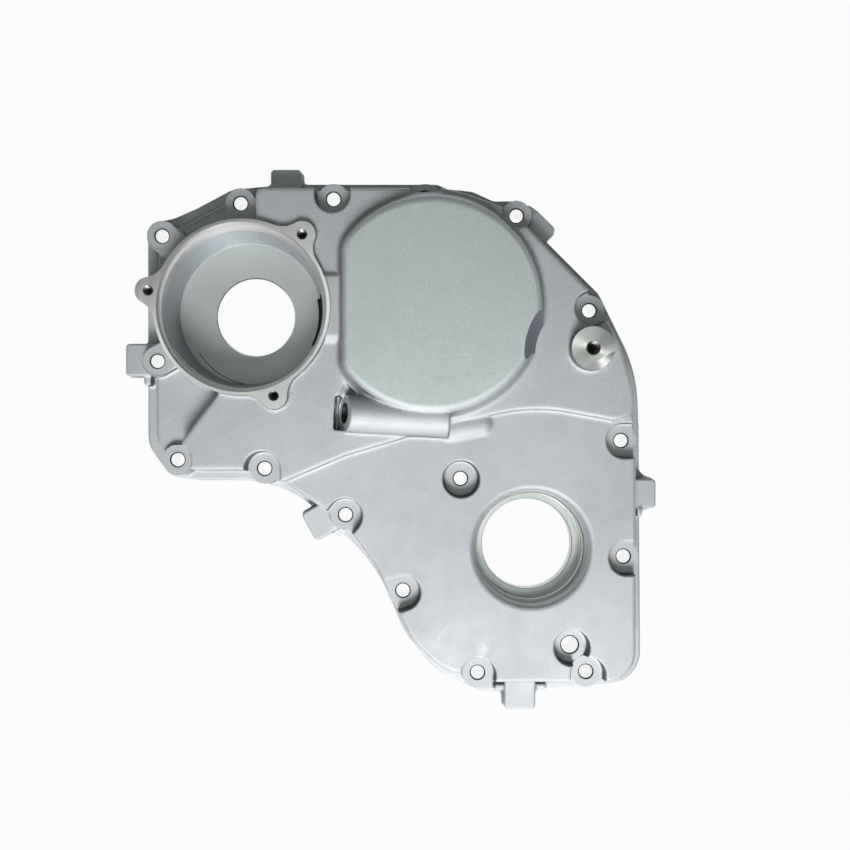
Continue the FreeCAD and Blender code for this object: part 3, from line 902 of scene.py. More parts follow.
@dataclass
class AccessoryHousing:
    """Deep turned cup with a machined ring, three tapped ears and a gear window.

    Attributes:
        ring: Outer radius of the ring.
        face_inner: Inner radius of its face.
        pilot: Radius of the pilot step.
        wall: Radius of the cup below it.
        pilot_depth: Depth of the pilot step.
        floor: Level of the cup's floor.
        floor_radius: Radius of the floor.
        floor_fillet: Growth and rise of each step from the floor to the wall.
        shaft_hole: Radius of the hole in the floor.
        shaft_chamfer: Width of that hole's broken edges.
        shaft_shift: Its place from the cup's axis.
        ear: Radius of an ear.
        ear_circle: Radius on which the ears stand.
        ear_blend: Radius of the hollows between ears and ring.
        ear_angles: Direction of each ear.
        ear_hole: Radius of an ear's tapped hole at its crests.
        ear_depth: Depth of its thread.
        ear_pitch: Distance from crest to crest.
        window: Directions between which the gear window opens.
        window_top: Level of its upper edge.
        window_sill: Level of its lower edge, just under the floor.
        window_undercut: How far it reaches into the floor.
        groove: Direction and radius of the start and of the end of the groove in the floor.
        groove_width: Width of that groove.
        stock: Height that is left on the ring for facing.
    """

    ring: float = 52.3
    face_inner: float = 50.5
    pilot: float = 49.4
    wall: float = 47.5
    pilot_depth: float = 7.0
    floor: float = 3.5
    floor_radius: float = 44.6
    floor_fillet: tuple[Point, ...] = ((-0.5, 0.0), (-0.15, 0.2), (0.0, 0.6))
    shaft_hole: float = 24.2
    shaft_chamfer: float = 0.5
    shaft_shift: Point = (3.2, -1.8)
    ear: float = 8.0
    ear_circle: float = 56.0
    ear_blend: float = 14.0
    ear_angles: tuple[float, ...] = (50.0, 170.0, 290.0)
    ear_hole: float = 2.5
    ear_depth: float = 14.0
    ear_pitch: float = 1.0
    window: tuple[float, float] = (-27.0, 13.0)
    window_top: float = 21.0
    window_sill: float = 0.9
    window_undercut: float = 1.8
    groove: tuple[float, float, float, float] = (216.0, 40.6, 265.0, 44.3)
    groove_width: float = 0.45
    stock: float = 1.6

    def outline(self, grow: float = 0.0) -> list[Point]:
        """Plan of the ring with its ears and their blends.

        Args:
            grow: Distance by which it is moved outwards.

        Returns:
            Its points, anticlockwise.
        """
        ring, ear, blend = self.ring + grow, self.ear + grow, self.ear_blend - grow
        near, far, out = ring + blend, ear + blend, self.ear_circle
        swing = math.degrees(math.acos((out**2 + near**2 - far**2) / (2 * out * near)))
        inner = math.degrees(math.acos((near**2 + far**2 - out**2) / (2 * near * far)))
        found: list[Point] = []
        for i, angle in enumerate(self.ear_angles):
            low = polar(CUP_CENTRE, angle - swing, near)
            high = polar(CUP_CENTRE, angle + swing, near)
            reach = swing + inner
            found += arc(low, blend, angle - swing + 180, angle - reach + 180, 12)[:-1]
            found += arc(polar(CUP_CENTRE, angle, out), ear, angle - reach, angle + reach, 28)[:-1]
            found += arc(high, blend, angle + reach + 180, angle + swing + 180, 12)[:-1]
            following = self.ear_angles[(i + 1) % len(self.ear_angles)]
            if following < angle:
                following += 360
            found += arc(CUP_CENTRE, ring, angle + swing, following - swing, 48)[:-1]
        return found

    def solid(self) -> bpy.types.Object:
        """Outer wall with its eared top, with stock left for facing."""
        sections = [(self.outline(1.0), STOCK_BOTTOM), (self.outline(), RING_TOP + self.stock)]
        return loft("accessory_wall", sections)

    def core(self) -> bpy.types.Object:
        """The wall that stands in the hollow round the cup."""
        radius = self.wall + WALL
        return column("cup_core", CUP_CENTRE, [(radius, CORE_BOTTOM), (radius, RING_TOP)], count=180)

    def ear_pads(self) -> list[bpy.types.Object]:
        """Columns under the ears inside the hollow.

        Returns:
            Solids that stay when the hollow is cut.
        """
        made = []
        for angle in self.ear_angles:
            at = polar(CUP_CENTRE, angle, self.ear_circle)
            profile = [(self.ear, CORE_BOTTOM), (self.ear + 1, RING_TOP)]
            made.append(column(f"ear_pad_{angle:.0f}", at, profile))
        return made

    def facing(self) -> bpy.types.Object:
        """Face mill that levels the ring and its ears."""
        swept = self.outline(2.5)
        return loft("ring_facing", [(swept, RING_TOP), (swept, OVERHEAD)], Finish.RING_FACE)

    def boring(self) -> bpy.types.Object:
        """Turned tool for the cup: floor, wall, pilot step and the broken edge of the ring.

        Returns:
            The cutter, with the finishes that it leaves.
        """
        pilot_end = RING_TOP - self.pilot_depth
        lead, step = self.face_inner - self.pilot, self.pilot - self.wall
        profile = [(self.floor_radius + grow, self.floor + rise) for grow, rise in self.floor_fillet]
        profile += [
            (self.wall, pilot_end - step), (self.pilot, pilot_end), (self.pilot, RING_TOP - lead),
            (self.face_inner, RING_TOP), (self.face_inner, OVERHEAD),
        ]
        # The cup wall takes the darker turned metal: painted shade.
        tool = column("cup_boring", CUP_CENTRE, profile, 240, Finish.CUP_WALL)
        recolour(tool, Finish.CUP_FLOOR, self.floor - 0.04, self.floor + 0.04)
        recolour(tool, Finish.RING_FACE, pilot_end - step, OVERHEAD, 0.0)
        recolour(tool, Finish.CUP_FLOOR, self.floor + 0.05, self.floor + 0.5, 0.0)
        return tool

    def other_cuts(self) -> list[bpy.types.Object]:
        """Shaft hole, gear window, floor groove and the three tapped holes.

        Returns:
            The cutters.
        """
        hole = (CUP_CENTRE[0] + self.shaft_shift[0], CUP_CENTRE[1] + self.shaft_shift[1])
        through = drill_profile(self.shaft_hole, self.shaft_chamfer, self.floor)
        made = [column("shaft_hole", hole, through, 180, Finish.HOLE)]
        base = self.window_sill
        inner, outer = self.floor_radius - self.window_undercut, self.wall + 2.4 * WALL
        window = arc(CUP_CENTRE, outer, self.window[0], self.window[1], 24)
        window += arc(CUP_CENTRE, inner, self.window[1], self.window[0], 24)
        # The gear window's cut faces are painted near black: painted shade in the pit.
        made.append(loft("gear_window", [(window, base), (window, self.window_top)], Finish.BLACK_HOLE))
        start, near, end, far = self.groove
        steps = [(start + (end - start) * k / 40, near + (far - near) * k / 40) for k in range(41)]
        groove = [polar(CUP_CENTRE, angle, radius) for angle, radius in steps]
        groove += [polar(CUP_CENTRE, angle, radius - self.groove_width) for angle, radius in reversed(steps)]
        sections = [(groove, self.floor - 0.6), (groove, self.floor + 0.9)]
        # The floor groove is painted near black: painted shade in it.
        made.append(loft("floor_groove", sections, Finish.BLACK_HOLE))
        for angle in self.ear_angles:
            at = polar(CUP_CENTRE, angle, self.ear_circle)
            thread = thread_profile(RING_TOP, self.ear_hole, self.ear_depth, self.ear_pitch)
            made.append(tapped_hole(f"ear_hole_{angle:.0f}", at, thread))
        return made


def thread_profile(top: float, radius: float, depth: float, pitch: float) -> list[Point]:
    """Profile of a tapped blind hole with its drill point, crests and mouth chamfer.

    Args:
        top: Level of the mouth.
        radius: Radius at the crests.
        depth: Depth of the full thread.
        pitch: Distance from crest to crest.

    Returns:
        Radius and level pairs from the bottom up.
    """
    root = radius + 0.5 * pitch
    profile = [(0.15, top - depth - 0.6 * radius), (radius, top - depth)]
    turns = int((depth - 2.0) / pitch)
    start = top - turns * pitch - 0.6 * pitch
    for k in range(turns):
        z = start + k * pitch
        profile += [(radius, z), (root, z + 0.42 * pitch)]
        profile += [(root, z + 0.54 * pitch), (radius, z + 0.94 * pitch)]
    profile += [(radius, top - 0.45 * pitch - 0.1), (root + 0.15, top), (root + 1.15, top + 1.0)]
    return profile


def tapped_hole(name: str, at: Point, profile: Sequence[Point]) -> bpy.types.Object:
    """Cutter for an upright tapped hole."""
    return column(name, at, profile, 40, Finish.THREAD)


@dataclass
class CrankBore:
    """Seal bore of the crankshaft with its rounded cast mouth and machined steps.

    Attributes:
        rim: Radius of the cast mouth.
        rim_round: Radius of its rounded edge.
        neck_draft: How much the mouth narrows to the ledge.
        ledge: Level of the ledge.
        bore: Radius of the seal's bore.
        land: Height of the low ring that is left in the bore.
        land_levels: Levels at which that ring starts, is full, is still full and ends.
        seat: Level of the seal's seat.
        seat_chamfer: Width of the seat's inner edge.
        lip: Radius of the opening under the seat.
        lip_chamfer: Width of that opening's lower edge.
        boss_wall: Wall round the bore inside the hollow.
        chamfer: Width of the bore's lead chamfer.
    """

    rim: float = 34.8
    rim_round: float = 3.0
    neck_draft: float = 0.5
    ledge: float = 20.0
    bore: float = 32.5
    land: float = 0.35
    land_levels: tuple[float, ...] = (13.2, 13.4, 14.2, 14.4)
    seat: float = 8.0
    seat_chamfer: float = 0.5
    lip: float = 28.0
    lip_chamfer: float = 0.6
    boss_wall: float = 6.0
    chamfer: float = 0.9

    def mouth(self) -> bpy.types.Object:
        """Cast mouth above the ledge.

        Returns:
            The cutter.
        """
        rounds = quarter_round(SOUTH_PANEL_TOP, self.rim_round, steps=6)
        flare = [(self.rim - grow, z) for grow, z in rounds]
        profile = [(self.rim - self.neck_draft, self.ledge), *flare, (flare[-1][0], DOME_TOP)]
        return column("crank_mouth", (0, 0), profile, count=200)

    def core(self) -> bpy.types.Object:
        """The wall round the bore inside the hollow.

        Returns:
            Solid that stays when the hollow is cut.
        """
        outer = self.bore + self.boss_wall
        profile = [(outer - 0.5, CORE_BOTTOM), (outer + 0.7, SOUTH_PANEL_TOP)]
        return column("crank_core", (0, 0), profile, count=160)

    def boring(self) -> bpy.types.Object:
        """Turned tool for the lip, the seal seat, the bore with its low ring and the lead chamfer.

        Returns:
            The cutter.
        """
        edge = self.lip + self.lip_chamfer
        start, full, still_full, end = self.land_levels
        profile = [
            (edge + 3, -3), (edge, 0), (self.lip, self.lip_chamfer),
            (self.lip, self.seat - self.seat_chamfer), (self.lip + self.seat_chamfer, self.seat),
            (self.bore, self.seat), (self.bore, start), (self.bore - self.land, full),
            (self.bore - self.land, still_full), (self.bore, end), (self.bore, self.ledge - self.chamfer),
            (self.bore + self.chamfer + 0.25, self.ledge + 0.35),
        ]
        return column("seal_boring", (0, 0), profile, 240, Finish.SEAL_BORE)


@dataclass
class TallBoss:
    """Tall boss with a milled face, a tapped hole and a clipped side.

    Attributes:
        at: Its place.
        radius: Its radius at the top.
        hole: Radius of the tapped hole at its crests.
        depth: Depth of the thread.
        pitch: Distance from crest to crest.
        clip_angle: Direction of the clipped side.
        clip_distance: Where the clip starts, from the axis.
        clip_slope: How steeply it falls, in degrees.
        stock: Height that is left for facing.
    """

    at: Point = (34.5, 119.1)
    radius: float = 12.75
    hole: float = 3.5
    depth: float = 20.0
    pitch: float = 1.25
    clip_angle: float = -64.0
    clip_distance: float = 7.0
    clip_slope: float = 14.0
    stock: float = 1.6

    def solid(self) -> bpy.types.Object:
        """The boss with stock on its face."""
        profile = [(self.radius + 0.4, CORNER_FLOOR), (self.radius, TALL_BOSS_TOP + self.stock)]
        return column("tall_boss", self.at, profile, count=96)

    def core(self) -> bpy.types.Object:
        """Metal round the hole inside the hollow."""
        bottom = TALL_BOSS_TOP - self.depth - WALL
        return column("tall_core", self.at, [(self.radius - 2, bottom), (self.radius, TALL_BOSS_TOP)])

    def cuts(self) -> list[bpy.types.Object]:
        """Face mill, the sloping clip and the tapped hole.

        Returns:
            The cutters.
        """
        swept = self.radius + 2
        above = [(swept, TALL_BOSS_TOP), (swept, OVERHEAD)]
        face = column("boss_facing", self.at, above, 48, Finish.BOSS_FACE)
        side = 2 * self.radius
        slope = math.tan(math.radians(self.clip_slope))
        edge = polar(self.at, self.clip_angle, self.clip_distance)
        wedge = placed_outline(bar(0, side, side), edge, self.clip_angle).points()
        clip = loft("boss_clip", [(wedge, TALL_BOSS_TOP), (wedge, OVERHEAD)], Finish.BOSS_FACE)
        start = Vector((*edge, 0)) * MM
        along = Vector((*polar((0, 0), self.clip_angle, 1.0), 0))
        for vertex in clip.data.vertices:
            if vertex.co.z < (TALL_BOSS_TOP + 1) * MM:
                vertex.co.z -= (vertex.co - start).dot(along) * slope
        thread = thread_profile(TALL_BOSS_TOP, self.hole, self.depth, self.pitch)
        return [face, clip, tapped_hole("boss_hole", self.at, thread)]


@dataclass
class OilPort:
    """Round oil port with a tilted milled face, and the lower ridge that carries its bore on.

    Attributes:
        left: Middle of the milled face.
        end: Right end of the port's axis.
        ridge_start: Left end of the ridge's axis.
        ridge_end: Its right end.
        radius: Radius of the port and of the ridge.
        tilt: How far the milled face leans back, in degrees.
        hole: Radius of the hole in it.
        hole_depth: Depth of that hole.
        gap: Length of the slot in front of the face.
        gap_width: Width of the slot.
        gap_floor: Level of its floor.
        skim: Thickness that is left on the face for milling.
        pocket_floor: Lowest level of the corner pocket.
        pocket: Outline of the pocket at that level.
        pocket_mouth: Its outline at the panel.
    """

    left: Vector = field(default_factory=lambda: Vector((-112.4, 81.0, 29.0)))
    end: Vector = field(default_factory=lambda: Vector((-50.0, 77.6, 28.6)))
    ridge_start: Vector = field(default_factory=lambda: Vector((-49.0, 71.3, 18.9)))
    ridge_end: Vector = field(default_factory=lambda: Vector((-30.4, 74.2, 18.6)))
    radius: float = 11.8
    tilt: float = 21.5
    hole: float = 6.0
    hole_depth: float = 16.0
    gap: float = 6.0
    gap_width: float = 20.6
    gap_floor: float = 17.5
    skim: float = 0.15
    pocket_floor: float = 21.0
    pocket: Outline = Outline((
        (-103.0, 88.0, 0), (-99.0, 88.0, 0), (-99.0, 93.5, 0), (-103.0, 97.0, 0),
    ))
    pocket_mouth: Outline = Outline((
        (-117.5, 88.0, 0), (-99.0, 88.0, 0), (-99.0, 93.5, 0), (-112.0, 104.0, 0),
    ))

    @property
    def direction(self) -> Vector:
        """Unit direction from the face to the right end."""
        return (self.end - self.left).normalized()

    @property
    def normal(self) -> Vector:
        """Unit direction out of the tilted face.

        Returns:
            The direction.
        """
        lean = math.radians(self.tilt)
        flat = Vector((-self.direction.x, -self.direction.y, 0)).normalized()
        return flat * math.cos(lean) + Vector((0, 0, math.sin(lean)))

    def solid(self) -> bpy.types.Object:
        """The boss, its left end cut along the face with a skim of stock.

        Returns:
            The solid.
        """
        length = (self.end - self.left).length
        tube = column("oil_port", (0, 0), [(self.radius, -self.radius), (self.radius, length)], count=120)
        tube.data.transform(turn_to(self.direction, self.left))
        beyond = 3 * self.radius
        waste = column("port_waste", (0, 0), [(beyond, self.skim), (beyond, beyond)])
        waste.data.transform(turn_to(self.normal, self.left))
        return fit(tube, [waste], Fit.CUT)

    def ridge(self) -> bpy.types.Object:
        """Half-buried ridge with round ends, to the right of the port.

        Returns:
            The solid.
        """
        run = self.ridge_end - self.ridge_start
        turns = [math.pi / 2 * k / 16 for k in range(16)]
        profile = [(self.radius * math.cos(a), -self.radius * math.sin(a)) for a in reversed(turns)]
        profile += [(self.radius * math.cos(a), run.length + self.radius * math.sin(a)) for a in turns]
        ridge = column("port_ridge", (0, 0), profile, count=96)
        ridge.data.transform(turn_to(run.normalized(), self.ridge_start))
        return ridge

    def core(self) -> bpy.types.Object:
        """Metal round the drilled end inside the hollow.

        Returns:
            Solid that stays when the hollow is cut.
        """
        start = self.left - self.direction * (self.gap + WALL)
        radius = self.radius + WALL
        length = self.hole_depth + 2 * WALL
        boss = column("port_core", (0, 0), [(radius, 0), (radius, length)], count=96)
        boss.data.transform(turn_to(self.direction, start))
        return boss

    def slot(self) -> bpy.types.Object:
        """Cast slot in front of the face.

        Returns:
            The cutter.
        """
        lean = math.tan(math.radians(self.tilt))
        heading = math.degrees(math.atan2(self.direction.y, self.direction.x))
        at = (self.left.x, self.left.y)
        sections = []
        for up in (self.gap_floor - self.left.z, DOME_TOP - self.left.z):
            shape = placed_outline(bar(-self.gap, up * lean, self.gap_width / 2), at, heading)
            sections.append((shape.points(), self.left.z + up))
        return loft("port_slot", sections)

    def pocket_core(self) -> bpy.types.Object:
        """Metal under the corner pocket inside the hollow."""
        outline = Outline(tuple(self.pocket_mouth.grown(WALL)))
        return prism("pocket_core", outline, self.pocket_floor - WALL, DOME_TOP)

    def corner_pocket(self) -> bpy.types.Object:
        """Corner that falls away towards the foot of the dome, beside the port.

        Returns:
            The cutter.
        """
        mouth = self.pocket_mouth.points()
        return loft("corner_pocket", [
            (self.pocket.points(), self.pocket_floor), (mouth, NORTH_PANEL_TOP + 0.3), (mouth, DOME_TOP),
        ])

    def cuts(self) -> list[bpy.types.Object]:
        """Face mill and the hole, both square to the tilted face.

        Returns:
            The cutters.
        """
        skimmed = [(self.radius - 1.0, 0), (self.radius - 0.6, 3.0)]
        face = column("port_facing", (0, 0), skimmed, 96, Finish.PORT_FACE)
        profile = [
            (0.2, -self.hole_depth), (self.hole - 0.4, 2.0 - self.hole_depth), (self.hole - 0.4, -3.0),
            (self.hole, -2.6), (self.hole, -0.5), (self.hole + 0.5, 0.0), (self.hole + 1.5, 1.0),
        ]
        # The port's hole takes the dark metal: painted shade inside the bore.
        hole = column("port_hole", (0, 0), profile, 72, Finish.DARK_BORE)
        for tool in (face, hole):
            tool.data.transform(turn_to(self.normal, self.left))
        return [face, hole]


@dataclass
class HiddenSide:
    """Ribs under the panels.

    Attributes:
        rib: Thickness of a rib at half its height.
        draft: How much each side leans in towards the foot.
        foot: Level of its lower edge.
        ends: Start and end of each rib.
    """

    rib: float = 4.0
    draft: float = 0.4
    foot: float = 5.0
    ends: tuple[tuple[Point, Point], ...] = (
        ((0, 0), (-42.4, 41.4)), ((-42.4, 41.4), (-112.4, 19.3)),
        ((0, 0), (56.9, -6.0)), ((0, 0), (-32.0, -76.8)),
    )

    def ribs(self) -> list[bpy.types.Object]:
        """Drafted ribs from the seal boss and the centre bolt to other bosses.

        Returns:
            Solids that stay when the hollow is cut.
        """
        made = []
        for number, (start, end) in enumerate(self.ends):
            run = Vector(end) - Vector(start)
            heading = math.degrees(math.atan2(run.y, run.x))
            wall = placed_outline(bar(0, run.length, self.rib / 2), start, heading)
            low, high = wall.points(-self.draft), wall.points(self.draft)
            made.append(loft(f"rib_{number}", [(low, self.foot), (high, DOME_TOP)]))
        return made


@dataclass
class CoverCasting:
    """The whole cover, from the blank to the finished piece.

    Attributes:
        grain: Voxel size of the softened blank.
        softness: Passes that round its edges.
        budget: Triangles kept before machining.
        crease: Angle in degrees above which an edge stays crisp.
        panels: Flange and panels.
        bolts: Bolt seats and holes.
        lugs: Cast lugs.
        dome: Dome over the gear.
        housing: Accessory housing.
        crank: Seal bore.
        tall_boss: Tall boss.
        port: Oil port.
        hidden: Ribs of the hidden side.
    """

    grain: float = 0.7
    softness: int = 7
    budget: int = 165000
    crease: float = 38.0
    panels: Panels = field(default_factory=Panels)
    bolts: Bolts = field(default_factory=Bolts)
    lugs: Lugs = field(default_factory=Lugs)
    dome: GearDome = field(default_factory=GearDome)
    housing: AccessoryHousing = field(default_factory=AccessoryHousing)
    crank: CrankBore = field(default_factory=CrankBore)
    tall_boss: TallBoss = field(default_factory=TallBoss)
    port: OilPort = field(default_factory=OilPort)
    hidden: HiddenSide = field(default_factory=HiddenSide)

    def hollow(self) -> bpy.types.Object:
        """Space under the panels, less what stands in it.

        Returns:
            The cutter.
        """
        space = fit(self.dome.hollow(), self.panels.hollows(), Fit.JOIN)
        kept = [self.crank.core(), self.housing.core(), self.tall_boss.core(), self.port.core()]
        kept.append(self.port.pocket_core())
        kept += self.hidden.ribs() + self.bolts.pads() + self.housing.ear_pads()
        return fit(space, kept, Fit.CUT)

    def blank(self) -> bpy.types.Object:
        """Casting as it leaves the die, before its edges are softened.

        Returns:
            The blank.
        """
        body, *others = self.panels.solids()
        fit(body, others + self.bolts.bosses() + self.lugs.solids(), Fit.JOIN)
        fit(body, self.bolts.pockets() + [self.port.slot(), self.port.corner_pocket()], Fit.CUT)
        fit(body, [self.housing.solid(), *self.dome.solids(), self.tall_boss.solid()], Fit.JOIN)
        fit(body, [self.hollow()], Fit.CUT)
        fit(body, [self.port.solid(), self.port.ridge()], Fit.JOIN)
        return fit(body, [self.crank.mouth()], Fit.CUT)

    def soften(self, body: bpy.types.Object) -> None:
        """Round every edge and foot as a die-casting has them.

        Args:
            body: The blank.
        """
        remesh = body.modifiers.new("grain", "REMESH")
        remesh.mode = "VOXEL"
        remesh.voxel_size = self.grain * MM
        apply_modifier(body, remesh)
        LOG.info("remeshed to %d faces", len(body.data.polygons))
        smooth = body.modifiers.new("soften", "SMOOTH")
        smooth.factor = 0.5
        smooth.iterations = self.softness
        apply_modifier(body, smooth)
        decimate = body.modifiers.new("thin_out", "DECIMATE")
        decimate.ratio = min(1.0, self.budget / (2 * len(body.data.polygons)))
        apply_modifier(body, decimate)
        LOG.info("thinned out to %d faces", len(body.data.polygons))

    def machine(self, body: bpy.types.Object) -> None:
        """Cut the machined faces, bores and holes.

        Args:
            body: The softened blank.
        """
        table = Outline(((-300, -150, 0), (150, -150, 0), (150, 300, 0), (-300, 300, 0)))
        mill = loft("gasket_milling", [(table.points(), -20), (table.points(), 0)], Finish.GASKET_FACE)
        tools = [self.housing.facing(), self.housing.boring(), self.crank.boring()]
        tools += self.housing.other_cuts() + self.bolts.drills() + self.tall_boss.cuts() + self.port.cuts()
        fit(mill, tools, Fit.JOIN)
        fit(body, [*self.bolts.recesses(), self.dome.scoop(), mill], Fit.CUT)

    def shade(self, body: bpy.types.Object) -> None:
        """Smooth the cast skin and keep the machined edges crisp.

        Args:
            body: The machined casting.
        """
        make_active(body)
        bpy.ops.object.shade_smooth_by_angle(angle=math.radians(self.crease))
        mesh = body.data
        finish_of: dict[tuple[int, int], int] = {}
        borders: set[tuple[int, int]] = set()
        for face in mesh.polygons:
            for key in face.edge_keys:
                if finish_of.setdefault(key, face.material_index) != face.material_index:
                    borders.add(key)
        for edge in mesh.edges:
            if tuple(sorted(edge.vertices)) in borders:
                edge.use_edge_sharp = True
        weighted = body.modifiers.new("weighted", "WEIGHTED_NORMAL")
        weighted.keep_sharp = True
        weighted.weight = 80
        apply_modifier(body, weighted)

    def build(self) -> bpy.types.Object:
        """Make the cover and hang it on its body.

        Returns:
            The finished piece.
        """
        body = self.blank()
        LOG.info("blank has %d faces", len(body.data.polygons))
        self.soften(body)
        self.machine(body)
        self.shade(body)
        body.name = "cover_casting"
        body.data.name = "cover_casting"
        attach(body, BODY)
        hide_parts(NODE)
        count = sum(len(face.vertices) - 2 for face in body.data.polygons)
        LOG.info("cover_casting has %d triangles", count)
        return body


Socket = bpy.types.NodeSocket


class Graph:
    """Short way to lay out the nodes of one material.

    Attributes:
        material: The material.
        tree: Its node tree.
        shader: Its Principled surface.
        coordinates: Its Texture Coordinate node.
        place: Object coordinates.
    """

    def __init__(self, name: str) -> None:
        """Start a material with a Principled surface.

        Args:
            name: Name of the material.
        """
        self.material = bpy.data.materials.new(name)
        self.material.use_nodes = True
        self.tree = self.material.node_tree
        self.shader = self.tree.nodes["Principled BSDF"]
        self.coordinates = self.add("ShaderNodeTexCoord")
        self.place = self.coordinates.outputs["Object"]

    def add(self, kind: str, **settings: object) -> bpy.types.Node:
        """New node of a kind with its settings.

        Args:
            kind: Type of the node.
            settings: Its properties by name.

        Returns:
            The node.
        """
        node = self.tree.nodes.new(kind)
        for key, value in settings.items():
            setattr(node, key, value)
        return node

    def link(self, output: Socket, target: Socket) -> None:
        """Join an output to an input."""
        self.tree.links.new(output, target)

    def moved(self, at: Sequence[float], turn: float = 0.0, stretch: Sequence[float] = (1, 1, 1)) -> Socket:
        """Object coordinates in a frame of its own.

        Args:
            at: Origin of that frame in millimetres.
            turn: Its turn about the upright axis in degrees.
            stretch: Scale along its axes.

        Returns:
            The coordinates.
        """
        node = self.add("ShaderNodeMapping", vector_type="TEXTURE")
        node.inputs["Location"].default_value = [v * MM for v in at]
        node.inputs["Rotation"].default_value = (0, 0, math.radians(turn))
        node.inputs["Scale"].default_value = stretch
        self.link(self.place, node.inputs["Vector"])
        return node.outputs["Vector"]

    def noise(
        self, scale: float, detail: float = 2.0, where: Socket | None = None, rough: float = 0.5
    ) -> Socket:
        """Noise between 0 and 1.

        Args:
            scale: Number of its waves in a metre.
            detail: How many finer layers it has.
            where: Coordinates that it reads, the object's own if none are given.
            rough: Weight of the finer layers.

        Returns:
            The noise.
        """
        node = self.add("ShaderNodeTexNoise")
        node.inputs["Scale"].default_value = scale
        node.inputs["Detail"].default_value = detail
        node.inputs["Roughness"].default_value = rough
        self.link(where or self.place, node.inputs["Vector"])
        return node.outputs["Fac"]

    def math(self, operation: str, a: Socket | float, b: Socket | float = 0.0) -> Socket:
        """Result of a math node.

        Args:
            operation: What it does.
            a: First value.
            b: Second value, where the operation takes one.

        Returns:
            The result.
        """
        node = self.add("ShaderNodeMath", operation=operation)
        for socket, value in zip(node.inputs, (a, b)):
            if isinstance(value, (int, float)):
                socket.default_value = value
            else:
                self.link(value, socket)
        return node.outputs[0]

    def ranged(self, value: Socket, low: float, high: float, to_low: float, to_high: float) -> Socket:
        """Value moved from one range to another and held there.

        Args:
            value: The value.
            low: Start of its range.
            high: End of its range.
            to_low: What the start becomes.
            to_high: What the end becomes.

        Returns:
            The moved value.
        """
        node = self.add("ShaderNodeMapRange", clamp=True)
        ends = {"From Min": low, "From Max": high, "To Min": to_low, "To Max": to_high}
        for key, number in ends.items():
            node.inputs[key].default_value = number
        self.link(value, node.inputs["Value"])
        return node.outputs["Result"]

    def mixed(self, share: Socket, a: Sequence[float] | Socket, b: Sequence[float] | Socket) -> Socket:
        """Colour between two others.

        Args:
            share: Share of the second colour.
            a: First colour.
            b: Second colour.

        Returns:
            The colour.
        """
        node = self.add("ShaderNodeMix", data_type="RGBA")
        self.link(share, node.inputs["Factor"])
        for key, value in ((6, a), (7, b)):
            if isinstance(value, bpy.types.NodeSocket):
                self.link(value, node.inputs[key])
            else:
                node.inputs[key].default_value = (*value, 1.0)
        return node.outputs[2]

    def painted_nook_shade(self, colour: Socket, reach: float = 22.0, most: float = 0.78) -> Socket:
        """Colour darkened towards near black on steep walls where they are closed in: painted shade.

        Args:
            colour: Colour of the clean surface.
            reach: How near a neighbour has to be, in millimetres.
            most: Share of painted shade in the closest corner.

        Returns:
            The colour with its painted shade.
        """
        nook = self.add("ShaderNodeAmbientOcclusion", samples=8, only_local=True)
        nook.inputs["Distance"].default_value = reach * MM
        closed = self.ranged(nook.outputs["AO"], 0.6, 0.97, most, 0.0)
        parts = self.add("ShaderNodeSeparateXYZ")
        self.link(self.coordinates.outputs["Normal"], parts.inputs["Vector"])
        steep = self.ranged(parts.outputs["Z"], 0.35, 0.74, 1.0, 0.0)
        # Painted shade: near black mixed in where a wall is steep and closed in.
        return self.mixed(self.math("MULTIPLY", closed, steep), colour, (0.075, 0.077, 0.08))

    def bump(self, height: Socket, depth: float, strength: float, under: Socket | None = None) -> Socket:
        """Normal from a height.

        Args:
            height: Height between 0 and 1.
            depth: What 1 stands for, in millimetres.
            strength: Strength of the bump.
            under: Normal of a coarser bump below it.

        Returns:
            The normal.
        """
        node = self.add("ShaderNodeBump")
        node.inputs["Strength"].default_value = strength
        node.inputs["Distance"].default_value = depth * MM
        self.link(height, node.inputs["Height"])
        if under is not None:
            self.link(under, node.inputs["Normal"])
        return node.outputs["Normal"]

    def finish(
        self, colour: Socket, roughness: Socket, normal: Socket, metallic: float
    ) -> bpy.types.Material:
        """Join everything to the surface.

        Args:
            colour: Its colour.
            roughness: Its roughness.
            normal: Its normal with all bumps.
            metallic: Share of metal.

        Returns:
            The finished material.
        """
        self.link(colour, self.shader.inputs["Base Color"])
        self.link(roughness, self.shader.inputs["Roughness"])
        self.link(normal, self.shader.inputs["Normal"])
        self.shader.inputs["Metallic"].default_value = metallic
        return self.material


# Handling marks on the cast skin: place, direction in degrees, half length and half width
SCUFFS: tuple[tuple[float, float, float, float, float], ...] = (
    (-191.0, 74.5, 28.0, 5.0, 0.5), (-54.0, -51.0, 52.0, 13.0, 0.8), (-36.0, -1.0, 40.0, 8.0, 0.6),
    (-29.0, -60.0, 70.0, 9.0, 4.0), (-92.0, 168.0, 60.0, 7.0, 0.5), (15.0, 60.0, 15.0, 10.0, 0.5),
)


